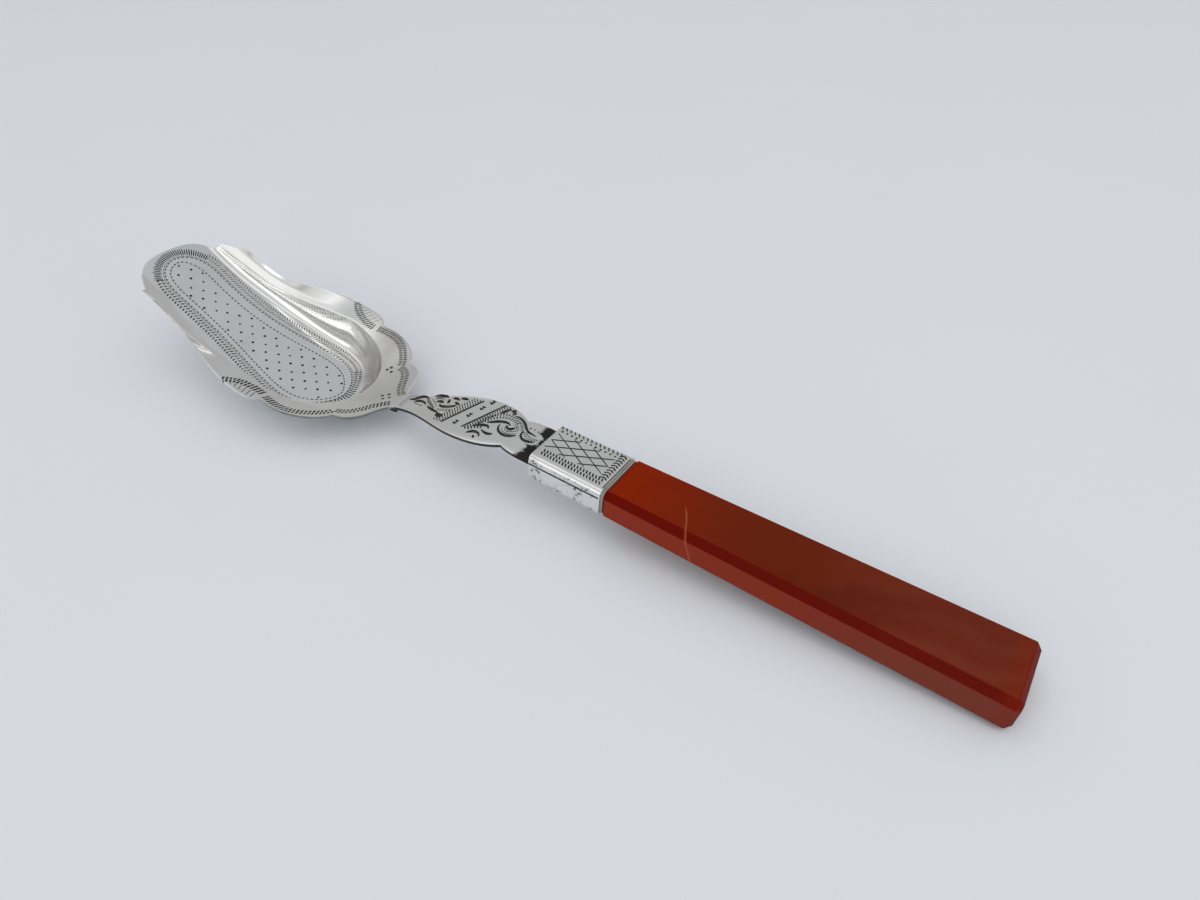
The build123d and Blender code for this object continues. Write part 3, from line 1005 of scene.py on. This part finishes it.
# %% Laying cuts on a surface
cut_lift = 0.004
drop_height, bowl_drop_height = 40.0, 20.0
straight_down = Vector((0, 0, -1))
from_near_side = Vector((0, 1, 0))
into_bowl = Vector((-sin(bowl_tilt), 0, -cos(bowl_tilt)))


def surface_of(piece):
    """The piece's mesh, made ready for rays."""
    return BVHTree.FromObject(piece, bpy.context.evaluated_depsgraph_get())


bowl_surface = surface_of(bowl)
stem_surface = surface_of(stem)
ferrule_surface = surface_of(nodes["ferrule_sleeve"])


def land(surface, start, direction):
    """Where a ray meets the metal, and the way that the metal faces there."""
    place, facing, _, _ = surface.ray_cast(start, direction)
    if place is None:
        return None
    if facing.dot(direction) > 0:
        facing = -facing
    return place + facing * cut_lift * mm, facing


def lay(surface, starts, direction):
    """Where the rays land, without those that miss."""
    landed = [land(surface, start, direction) for start in starts]
    return [spot for spot in landed if spot]


def on_bowl(points):
    return lay(bowl_surface, [bowl_place(u, v, bowl_drop_height) for u, v in points], into_bowl)


def on_stem(points):
    return lay(stem_surface, [Vector((x, y, drop_height)) * mm for x, y in points], straight_down)


def on_ferrule(points):
    return lay(ferrule_surface, [Vector((x, y, drop_height)) * mm for x, y in points], straight_down)


def on_ferrule_side(points):
    return lay(ferrule_surface, [Vector((x, -drop_height, z)) * mm for x, z in points], from_near_side)


print("surfaces ready for the cuts")

# %% Paths of the cuts
def path_mesh(name, paths, closed=False, joined=True):
    """Laid points as a mesh, joined along each path. An attribute keeps the way the metal faces."""
    places, edges, facing = [], [], []
    for path in paths:
        start = len(places)
        places += [place for place, _ in path]
        facing += [normal for _, normal in path]
        if joined:
            edges += [(k, k + 1) for k in range(start, len(places) - 1)]
        if closed:
            edges.append((len(places) - 1, start))
    mesh = bpy.data.meshes.new(name)
    mesh.from_pydata(places, edges, [])
    layer = mesh.attributes.new("facing", "FLOAT_VECTOR", "POINT")
    layer.data.foreach_set("vector", np.array(facing, float).ravel())
    return mesh


print("paths can be laid")

# %% [markdown]
# ## Node trees for the cuts
# Three cuts make all the ornament: a short wedge repeated along a path, a punched dot, and a drawn
# line. Each is a Geometry Nodes tree with its sizes as inputs, so one tree serves every border.

# %% Start and end of a cut tree
def new_cut_tree(name, sizes):
    """Tree with named sizes and a material, its board, and its entry."""
    tree = bpy.data.node_groups.new(name, "GeometryNodeTree")
    tree.interface.new_socket("Geometry", in_out="INPUT", socket_type="NodeSocketGeometry")
    for label in sizes:
        tree.interface.new_socket(label, in_out="INPUT", socket_type="NodeSocketFloat")
    tree.interface.new_socket("Material", in_out="INPUT", socket_type="NodeSocketMaterial")
    tree.interface.new_socket("Geometry", in_out="OUTPUT", socket_type="NodeSocketGeometry")
    board = Board(tree)
    return tree, board, board.node("NodeGroupInput")


def close_cut_tree(board, entry, geometry):
    """Makes the instances plain, gives them the material and ends the tree."""
    plain = board.node("GeometryNodeRealizeInstances", {}, {"Geometry": geometry})
    painted = board.node(
        "GeometryNodeSetMaterial", {}, {"Geometry": plain, "Material": entry.out("Material")}
    )
    board.node("NodeGroupOutput", {}, {"Geometry": painted})


print("cut trees can be started and ended")

# %% Parts of a cut tree
def low_cone(board, corners, top):
    """Closed cone, 1 in radius and height, with a top of its own radius."""
    sizes = {"Vertices": corners, "Radius Top": top, "Radius Bottom": 1.0, "Depth": 1.0}
    return board.node("GeometryNodeMeshCone", {"fill_type": "NGON"}, sizes)


def uneven(board, low, high, seed):
    """Random size for each cut, from a fixed seed."""
    return board.node(
        "FunctionNodeRandomValue", {"data_type": "FLOAT"}, {2: low, 3: high, "Seed": seed}, output=1
    )


def standing_rotation(board):
    """Rotation that stands a shape on the metal."""
    facing = board.node(
        "GeometryNodeInputNamedAttribute", {"data_type": "FLOAT_VECTOR"}, {"Name": "facing"}
    )
    return board.node("FunctionNodeAlignRotationToVector", {"axis": "Z"}, {"Vector": facing})


def path_rotation(board):
    """The standing rotation, turned until the shape's X axis lies along the path."""
    along = board.node("GeometryNodeInputTangent")
    return board.node(
        "FunctionNodeAlignRotationToVector",
        {"axis": "X", "pivot_axis": "Z"},
        {"Rotation": standing_rotation(board), "Vector": along},
    )


def copies_on(board, points, shape, rotation, scale):
    """One copy of a shape on each point."""
    return board.node(
        "GeometryNodeInstanceOnPoints",
        {},
        {"Points": points, "Instance": shape, "Rotation": rotation, "Scale": scale},
    )


print("parts of a cut tree ready")

# %% Wedge tree
def make_wedge_tree():
    """Short wedges at an even pitch along each path, turned by a slant."""
    tree, board, entry = new_cut_tree("wedge_row", ("Pitch", "Length", "Width", "Depth", "Slant"))
    curve = board.node("GeometryNodeMeshToCurve", {}, {"Mesh": entry})
    marks = board.node(
        "GeometryNodeResampleCurve", {"mode": "LENGTH"}, {"Curve": curve, "Length": entry.out("Pitch")}
    )
    half_length = entry.out("Length") * 0.5 * uneven(board, 0.86, 1.12, 7)
    half_width = entry.out("Width") * 0.5
    size = board.node(
        "ShaderNodeCombineXYZ", {}, {"X": half_length, "Y": half_width, "Z": entry.out("Depth")}
    )
    lean = board.node("ShaderNodeCombineXYZ", {}, {"Z": entry.out("Slant")})
    lean = board.node("FunctionNodeEulerToRotation", {}, {"Euler": lean})
    turned = board.node(
        "FunctionNodeRotateRotation",
        {"rotation_space": "LOCAL"},
        {"Rotation": path_rotation(board), "Rotate By": lean},
    )
    wedge = low_cone(board, corners=6, top=0.0)
    close_cut_tree(board, entry, copies_on(board, marks, wedge, turned, size))
    return tree


wedge_tree = make_wedge_tree()
print("wedge tree nodes:", len(wedge_tree.nodes))

# %% Dot tree
def make_dot_tree():
    """A round, flat-topped dot on each point."""
    tree, board, entry = new_cut_tree("punched_dots", ("Diameter", "Depth"))
    reach = entry.out("Diameter") * 0.5 * uneven(board, 0.85, 1.15, 3)
    size = board.node("ShaderNodeCombineXYZ", {}, {"X": reach, "Y": reach, "Z": entry.out("Depth")})
    dot = low_cone(board, corners=12, top=0.55)
    close_cut_tree(board, entry, copies_on(board, entry, dot, standing_rotation(board), size))
    return tree


dot_tree = make_dot_tree()
print("dot tree nodes:", len(dot_tree.nodes))

# %% Line tree
def make_line_tree():
    """A round line along each path, thinner at its ends as the taper grows."""
    tree, board, entry = new_cut_tree("drawn_line", ("Width", "Taper"))
    curve = board.node("GeometryNodeMeshToCurve", {}, {"Mesh": entry})
    share = board.node("GeometryNodeSplineParameter")
    swell = (share * (1.0 - share) * 4.0 + 0.02) ** entry.out("Taper")
    section = board.node("GeometryNodeCurvePrimitiveCircle", {}, {"Resolution": 6, "Radius": 1.0})
    half_width = entry.out("Width") * 0.5 * swell
    line = board.node(
        "GeometryNodeCurveToMesh",
        {},
        {"Curve": curve, "Profile Curve": section, "Fill Caps": True, "Scale": half_width},
    )
    close_cut_tree(board, entry, line)
    return tree


line_tree = make_line_tree()
print("line tree nodes:", len(line_tree.nodes))

# %% Running a tree
wedge_depth, dot_depth = 0.03, 0.02


def cut_piece(name, mesh, tree, sizes, material):
    """Runs a cut tree on laid paths and keeps the result as a plain mesh."""
    piece = add_object(name, mesh)
    modifier = piece.modifiers.new("cuts", "NODES")
    modifier.node_group = tree
    values = {**sizes, "Material": material}
    for item in tree.interface.items_tree:
        if item.in_out == "INPUT" and item.name in values:
            modifier[item.identifier] = values[item.name]
    settle(piece)
    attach(piece, "root")
    print(name, "faces:", len(piece.data.polygons))


def wedges(name, paths, pitch, length, width, slant, material, closed=False):
    """Row of wedges, in mm and degrees."""
    sizes = {"Pitch": pitch * mm, "Length": length * mm, "Width": width * mm}
    sizes.update({"Depth": wedge_depth * mm, "Slant": radians(slant)})
    cut_piece(name, path_mesh(name, paths, closed), wedge_tree, sizes, material)


def dots(name, spots, diameter, material):
    """Punched dots, in mm."""
    sizes = {"Diameter": diameter * mm, "Depth": dot_depth * mm}
    cut_piece(name, path_mesh(name, [spots], joined=False), dot_tree, sizes, material)


def lines(name, paths, width, taper, material, closed=False):
    """Drawn lines, in mm. A taper of 0 keeps the width even."""
    sizes = {"Width": width * mm, "Taper": float(taper)}
    cut_piece(name, path_mesh(name, paths, closed), line_tree, sizes, material)


print("cuts can be made")

# %% [markdown]
# ## Border of the floor
# A tongue of dots fills the floor, framed by two dashed lines, a thin line and a border of cuts. One
# loop is drawn, and the other rows are the same loop pushed outwards. Only the inner dashes differ:
# they are drawn in a little on the far side. The border is long single cuts at the front and a
# herringbone elsewhere. It is black at both ends and brown on the near side. On the far side it is
# pale, which is painted light: those cuts are shown lit more than the near ones.

# %% Loop of the floor
field_half = [
    (3.95, 0.0), (4.3, 1.5), (5.4, 2.9), (7.6, 3.75), (12.0, 3.9), (20.0, 3.95), (27.0, 4.55),
    (34.0, 5.6), (40.0, 6.4), (44.0, 6.25), (47.2, 4.8), (49.3, 2.5), (50.0, 0.0),
]
field_points = 260
gather_front, gather_rear = 0.15, 0.4
front_run, rear_run = (3, 9), (45, 50)

field_side = smooth_curve(field_half, (0, 1), (0, -1), count=field_points)
field_loop = np.vstack([field_side, field_side[-2:0:-1] * (1, -1)])


def pushed(loop, distance):
    """The loop moved outwards. The rows draw together at its two ends."""
    ahead = np.roll(loop, -1, axis=0) - np.roll(loop, 1, axis=0)
    ahead /= np.hypot(ahead[:, 0], ahead[:, 1])[:, None]
    outward = np.stack([-ahead[:, 1], ahead[:, 0]], axis=1)
    gather = np.array([
        1 - gather_front * (1 - ease(u, *front_run)) - gather_rear * ease(u, *rear_run)
        for u in loop[:, 0]
    ])
    return loop + outward * distance * gather[:, None]


print("points in the loop:", len(field_loop))

# %% Dashes of the floor
dash_pitch, dash_length, dash_width = 0.88, 0.66, 0.28
frame_push, line_push, line_width = 1.15, 1.5, 0.09
far_inset, inset_run = 0.85, 3

dot_field = field_loop.copy()
dot_field[:, 1] -= far_inset * np.clip(field_loop[:, 1] / inset_run, 0, 1)
for name, loop in (("field_dashes", dot_field), ("frame_dashes", pushed(field_loop, frame_push))):
    wedges(name, [on_bowl(loop)], dash_pitch, dash_length, dash_width, 0, cut_tarnish, closed=True)
lines("frame_line", [on_bowl(pushed(field_loop, line_push))], line_width, 0, cut_tarnish, closed=True)

# %% Border of the floor
front_until, rear_from = 6.5, 46.5

whole = len(field_loop)
front_end = int(np.argmax(field_side[:, 0] > front_until))
rear_start = int(np.argmax(field_side[:, 0] > rear_from))
stretches = {
    "front": (-front_end, front_end),
    "far": (front_end, rear_start),
    "rear": (rear_start, whole - rear_start),
    "near": (whole - rear_start, whole - front_end),
}
# The pale rows on the far side are painted light, lighter than the brown near rows.
# Row, push, pitch, length, width, slant and finish
border_rows = [
    ("front", 2.7, 0.42, 1.9, 0.27, 90, cut_tarnish),
    ("far_inner", 2.45, 0.62, 1.1, 0.30, 62, cut_pale),
    ("far_outer", 3.45, 0.62, 1.1, 0.30, -62, cut_pale),
    ("rear_inner", 2.2, 0.62, 0.8, 0.34, 75, cut_tarnish),
    ("rear_outer", 3.2, 0.66, 0.8, 0.34, -75, cut_tarnish),
    ("near_inner", 2.1, 0.74, 0.85, 0.38, 66, cut_brown),
    ("near_outer", 2.95, 0.74, 0.85, 0.38, -66, cut_brown),
]
for row, push, pitch, length, width, slant, material in border_rows:
    start, end = stretches[row.split("_")[0]]
    path = pushed(field_loop, push)[np.arange(start, end) % whole]
    wedges(f"border_{row}", [on_bowl(path)], pitch, length, width, slant, material)

# %% [markdown]
# ## Dots of the floor
# The dots are punched in a diamond lattice that keeps clear of the dashed frame. A hand punch wanders
# a little, so each dot is moved by a small seeded amount.

# %% Dots of the floor
dot_row, dot_step, dot_diameter = 1.45, 3.6, 0.52
dot_start, dot_rows, dot_columns = 4.7, 5, 16
dot_margin = 0.55
stray_along, stray_across = 0.14, 0.1
wander = np.random.default_rng(11)

field_inner = pushed(field_loop, -dot_margin)
inner_u, inner_v = field_inner[:field_points, 0], field_inner[:field_points, 1]
spots = []
for row in range(-dot_rows, dot_rows + 1):
    for step in range(dot_columns):
        u = dot_start + dot_step * (step + 0.5 * (row % 2)) + wander.uniform(-stray_along, stray_along)
        v = row * dot_row + wander.uniform(-stray_across, stray_across) - far_inset / 2
        reach = np.interp(u, inner_u, inner_v)
        inside = inner_u.min() < u < inner_u.max() and -reach < v < reach - far_inset
        if inside:
            spots.append((u, v))
dots("floor_dots", on_bowl(spots), dot_diameter, cut_tarnish)

# %% [markdown]
# ## Border of the rim
# A double row of wedges follows the lobes to the neck and bends inwards across the ears, where
# hatching fills the corner outside it. The band is drawn once, for one side, and mirrored. On the far
# side the cuts are finer and browner, and the hatching is faint.

# %% Border of the rim
ear_band = [(37.3, 17.0), (39.0, 15.5), (41.3, 14.55), (44.2, 14.2)]
lobe_band = [(45.6, 14.55), (49.0, 14.75), (52.2, 13.7), (54.8, 11.4), (56.3, 9.3)]
heel_band = [(56.9, 8.5), (58.9, 7.3), (60.3, 5.2), (61.4, 3.3), (62.9, 1.7)]
band_gap = 0.78
rim_length, rim_slant = 1.02, 68


def open_push(line, distance):
    """An open line moved sideways."""
    ahead = np.gradient(line, axis=0)
    ahead /= np.hypot(ahead[:, 0], ahead[:, 1])[:, None]
    return line + np.stack([-ahead[:, 1], ahead[:, 0]], axis=1) * distance


rim_bands = [
    smooth_curve(ear_band, (1, -1.2), (1, 0.1)),
    smooth_curve(lobe_band, (1, 0.2), (0.4, -1)),
    smooth_curve(heel_band, (1, -0.1), (1, -0.9)),
]
# Side, its name, pitch, width and finish
rim_sides = [(1, "far", 0.54, 0.36, cut_brown), (-1, "near", 0.67, 0.44, cut_tarnish)]
for side, edge, pitch, width, material in rim_sides:
    for row, push in (("outer", band_gap / 2), ("inner", -band_gap / 2)):
        paths = [on_bowl(open_push(line * (1, side), push * side)) for line in rim_bands]
        wedges(f"rim_cuts_{edge}_{row}", paths, pitch, rim_length, width, rim_slant, material)

# %% Hatching of the ears
hatch_from, hatch_until, hatch_step = 38.6, 44.2, 0.95
clear_of_band, clear_of_rim = 0.75, 0.35
hatch_points, hatch_lean, hatch_taper = 7, 0.1, 0.4


def hatch_line(u, side):
    """Short line across an ear, from the band to the rim."""
    inner = float(np.interp(u, rim_bands[0][:, 0], rim_bands[0][:, 1])) + clear_of_band
    outer = wing_v(u) - clear_of_rim
    return [
        (u + hatch_lean * k, side * (inner + (outer - inner) * k / (hatch_points - 1)))
        for k in range(hatch_points)
    ]


for side, edge, width, material in ((1, "far", 0.10, cut_pale), (-1, "near", 0.16, cut_brown)):
    hatch = [on_bowl(hatch_line(u, side)) for u in np.arange(hatch_from, hatch_until, hatch_step)]
    lines(f"ear_hatching_{edge}", hatch, width, hatch_taper, material)

# %% Dots of the flange
flange_dot = 0.62
far_cluster = [(55.1, 7.9), (54.8, 7.1), (56.0, 6.9)]
neck_cluster = [(60.0, 0.0), (60.8, 0.85), (60.8, -0.85), (61.6, 0.0)]
dots("flange_dots", on_bowl(far_cluster + neck_cluster), flange_dot, cut_tarnish)

# %% [markdown]
# ## Ornament of the stem
# The leaf carries a slanted band of paired wedges between two fringed lines, and loose scrolls before
# and behind it. A scroll is one swelling stroke of the burin, so it is a curve that is thick in the
# middle and thin at its ends.

# %% Scrolls of the stem
strokes = [
    [(-22.8, 0.7), (-21.7, 0.9), (-21.2, 1.5), (-20.3, 2.1), (-19.3, 2.0), (-18.5, 1.6)],
    [(-21.0, 0.1), (-20.2, 0.5), (-19.2, 0.5), (-18.4, 0.2), (-17.7, -0.3)],
    [(-17.1, -0.6), (-16.0, -1.1), (-14.5, -1.5), (-13.3, -1.8)],
    [(-18.1, 2.7), (-17.4, 3.2), (-16.2, 3.4), (-15.5, 3.4), (-15.1, 3.0)],
    [(-14.4, 2.7), (-14.1, 2.1), (-14.0, 1.5)],
    [(-14.1, 3.2), (-13.2, 3.4), (-12.4, 3.1)],
    [(-12.6, 3.7), (-11.9, 3.9), (-11.0, 4.0)],
    [(-12.8, 2.2), (-12.2, 2.1), (-11.5, 2.0)],
    [(-16.4, 1.2), (-15.8, 1.5), (-15.1, 1.5), (-14.8, 1.2)],
    [(-15.2, 0.9), (-14.7, 0.3), (-13.7, 0.3), (-12.7, 0.7), (-12.1, 1.2), (-11.8, 1.7)],
    [(-13.3, -2.7), (-13.0, -2.2), (-12.7, -1.9)],
    [(-12.6, -2.9), (-12.3, -2.3), (-12.1, -1.8)],
    [(-2.0, 5.1), (-2.5, 4.1), (-2.9, 3.1)],
    [(-1.7, 4.5), (-1.3, 4.8), (-1.0, 5.2)],
    [(-1.0, 4.0), (-0.7, 4.3), (-0.5, 4.6)],
    [(-3.4, -0.3), (-2.6, 0.3), (-1.7, 1.0), (-0.7, 1.4), (0.2, 1.4), (0.8, 1.0)],
    [(0.1, 0.9), (0.5, 0.4), (1.1, 0.2), (1.6, 0.6), (1.8, 1.1)],
    [(-1.0, 0.5), (-0.9, -0.1), (-0.4, -0.9), (0.5, -1.5), (1.5, -1.6), (2.5, -1.2), (3.2, -0.5)],
    [(-5.0, -2.3), (-4.2, -1.6), (-3.2, -1.1), (-2.4, -1.1), (-2.0, -1.7)],
    [(-2.9, -2.4), (-2.2, -2.7), (-1.2, -2.8), (-0.4, -2.4)],
    [(-4.7, -4.4), (-3.9, -3.6), (-3.0, -3.4), (-2.4, -3.7), (-2.0, -4.3)],
    [(-3.0, -4.4), (-2.8, -4.7), (-2.6, -5.0)],
    [(-0.2, 3.8), (0.6, 3.8), (1.8, 3.4), (3.0, 2.5), (4.0, 1.6), (5.0, 1.3), (6.2, 1.2)],
    [(3.6, 1.1), (3.6, 0.4), (4.1, -0.4), (5.0, -0.8), (6.0, -0.6), (6.8, -0.2)],
]
shading = [
    [(-17.5, 2.2), (-16.5, 2.8), (-15.3, 2.6)],
    [(-17.3, 1.8), (-16.4, 2.4), (-15.2, 2.1)],
    [(-19.0, 1.3), (-17.6, 0.8), (-16.4, 0.1), (-15.4, -0.6)],
    [(-18.6, 0.9), (-17.2, 0.3), (-16.2, -0.3), (-15.2, -1.0)],
    [(-18.2, 1.9), (-17.0, 1.2), (-16.0, 0.5), (-15.0, -0.3)],
    [(-0.3, 0.2), (0.1, -0.6), (1.0, -1.0), (2.0, -0.9), (3.0, 0.0)],
    [(0.0, 0.6), (0.4, -0.1), (1.2, -0.5), (2.2, 0.1), (2.8, 0.9)],
    [(1.0, 2.2), (2.0, 1.6), (2.8, 0.5)],
    [(0.9, 1.7), (1.9, 1.3), (2.4, 0.4)],
]


def stroke(points):
    """Smooth line through a few points."""
    first = np.subtract(points[1], points[0])
    last = np.subtract(points[-1], points[-2])
    return smooth_curve(points, first, last, count=36)


stroke_paths = [on_stem(stroke(points)) for points in strokes]
shading_paths = [on_stem(stroke(points)) for points in shading]
lines("stem_scrolls", stroke_paths, width=0.50, taper=0.5, material=cut_tarnish)
lines("stem_shading", shading_paths, width=0.16, taper=0.5, material=cut_brown)

# %% Slanted band of the stem
band_front = [(-8.1, 4.8), (-10.8, -3.8)]
band_rear = [(-3.7, 5.5), (-6.5, -3.4)]
pair_spots = [(-6.4, 5.2), (-6.9, 2.9), (-7.6, 0.1), (-8.4, -2.7)]
pair_gap, pair_reach, pair_lean = 0.34, 0.45, 0.2
pair_rise, pair_fall = 0.15, 0.1
fringe_ends = 0.03


def between(start, end, share):
    """Point on a straight line."""
    return tuple(np.array(start) + (np.array(end) - np.array(start)) * share)


def straight(start, end, count=24):
    """Points along a straight line."""
    start, end = np.array(start), np.array(end)
    return [tuple(start + (end - start) * k / (count - 1)) for k in range(count)]


band_edges = [on_stem(straight(*line)) for line in (band_front, band_rear)]
lines("stem_band_lines", band_edges, width=0.26, taper=0, material=cut_tarnish)

pairs = []
for x, y in pair_spots:
    for step in (-pair_gap, pair_gap):
        left = (x - pair_reach + pair_lean * step, y + step + pair_rise)
        tip = (x, y + step - pair_fall)
        right = (x + pair_reach, y + step + pair_rise)
        pairs.append(on_stem([left, tip, right]))
lines("stem_pairs", pairs, width=0.46, taper=0.4, material=cut_tarnish)

fringes = []
for line, offsets in ((band_front, (-0.55, -1.25, -1.95)), (band_rear, (0.55, 1.25))):
    for offset in offsets:
        start, end = ((x + offset, y) for x, y in line)
        first, last = between(start, end, fringe_ends), between(start, end, 1 - fringe_ends)
        fringes.append(on_stem(straight(first, last)))
wedges("stem_fringes", fringes, pitch=0.50, length=0.78, width=0.26, slant=68, material=cut_tarnish)

# %% Leaf cuts of the stem
arcs = [
    [(-4.9, -0.2), (-4.0, 1.1), (-2.9, 2.7), (-1.5, 3.4), (0.0, 3.4), (1.3, 2.9), (2.5, 2.1), (3.3, 1.1)],
    [(-4.5, -1.0), (-3.3, 0.9), (-2.3, 2.1), (-1.0, 2.6), (0.3, 2.6), (1.4, 2.2)],
    [(-5.7, -3.4), (-5.1, -2.5), (-4.5, -1.6)],
    [(-5.1, -3.2), (-4.4, -2.5), (-3.4, -1.9)],
    [(-14.2, -0.9), (-13.2, -0.7), (-12.0, -0.3)],
    [(-18.6, 1.4), (-17.6, 0.6), (-16.6, -0.2), (-15.4, -0.9)],
]
scales = [
    [(3.9, 0.8), (4.6, 0.1), (5.6, -0.2), (6.6, 0.1)],
    [(4.2, 1.0), (5.0, 0.5), (5.9, 0.3), (6.8, 0.5)],
]
front_dots = [(-20.3, -0.4), (-19.7, -0.5), (-19.0, -0.7), (-18.4, -0.8)]
tail_dots = [(4.1, 2.4), (4.9, 2.5), (5.7, 2.4)]

arc_paths = [on_stem(stroke(arc)) for arc in arcs]
scale_paths = [on_stem(stroke(row)) for row in scales]
wedges("stem_leaf_cuts", arc_paths, pitch=0.52, length=0.85, width=0.29, slant=82, material=cut_tarnish)
wedges("stem_tail_scales", scale_paths, pitch=0.46, length=0.52, width=0.25, slant=60, material=cut_tarnish)
dots("stem_dots", on_stem(front_dots + tail_dots), diameter=0.36, material=cut_tarnish)

# %% [markdown]
# ## Ornament of the ferrule
# Crossed lines make a trellis on the ferrule's top, inside rows of wedges and dots. A groove follows
# the rounded edge along its side, and a line closes its rear.

# %% Trellis of the ferrule
trellis_slope, trellis_step = 0.55, 3.7
trellis_left, trellis_right, trellis_low, trellis_high = 9.9, 21.0, -1.95, 2.9
trellis_points, fewest_points = 60, 5
trellis_lines = range(-3, 8)

trellis = []
for lean in (1, -1):
    for k in trellis_lines:
        crossing = trellis_left + k * trellis_step
        points = [
            (x, lean * trellis_slope * (x - crossing) + (trellis_low + trellis_high) / 2)
            for x in np.linspace(trellis_left, trellis_right, trellis_points)
        ]
        points = [(x, y) for x, y in points if trellis_low <= y <= trellis_high]
        if len(points) >= fewest_points:
            trellis.append(on_ferrule(points))
lines("ferrule_trellis", trellis, width=0.2, taper=0.1, material=cut_tarnish)

# %% Rows round the trellis
far_row = ((9.7, 4.1), (21.4, 4.1))
near_row, near_row_b = ((10.6, -2.45), (22.0, -2.75)), ((10.6, -3.25), (22.0, -3.6))
rear_row, rear_row_b = ((21.55, -2.2), (21.55, 4.0)), ((22.2, -2.2), (22.2, 4.0))
front_row = ((9.45, -2.6), (9.45, 4.0))
bead_from, bead_pitch, bead_across, bead_count = 10.2, 0.95, 3.25, 12


def ferrule_rows(*rows):
    """Straight paths on the ferrule's top."""
    return [on_ferrule(straight(*row)) for row in rows]


far_paths = ferrule_rows(far_row)
wedges("ferrule_far_cuts", far_paths, pitch=0.8, length=1.1, width=0.34, slant=-58, material=cut_brown)
beads = [(bead_from + bead_pitch * k, bead_across) for k in range(bead_count)]
dots("ferrule_dots", on_ferrule(beads), diameter=0.42, material=cut_tarnish)
near_paths = ferrule_rows(near_row, near_row_b)
wedges("ferrule_near_cuts", near_paths, pitch=0.58, length=1.05, width=0.33, slant=-66, material=cut_tarnish)
for name, row, slant in (("ferrule_rear_cuts", rear_row, 125), ("ferrule_rear_cuts_b", rear_row_b, 55)):
    wedges(name, ferrule_rows(row), pitch=0.66, length=1.0, width=0.36, slant=slant, material=cut_tarnish)
front_paths = ferrule_rows(front_row)
wedges("ferrule_front_cuts", front_paths, pitch=0.6, length=0.7, width=0.16, slant=90, material=cut_bright)

# %% Groove and rear line of the ferrule
groove_front, groove_rear, groove_drop = 9.3, 22.9, 1.45
rear_line = ((23.05, -4.2), (23.05, 4.2))

top_ends = [
    (x, place.z / mm) for x in (groove_front, groove_rear) for place, _ in on_ferrule([(x, 0)])
]
groove = [(x, z - groove_drop) for x, z in straight(*top_ends)]
lines("ferrule_groove", [on_ferrule_side(groove)], width=0.24, taper=0, material=cut_tarnish)
lines("ferrule_rear_line", ferrule_rows(rear_line), width=0.2, taper=0, material=cut_tarnish)
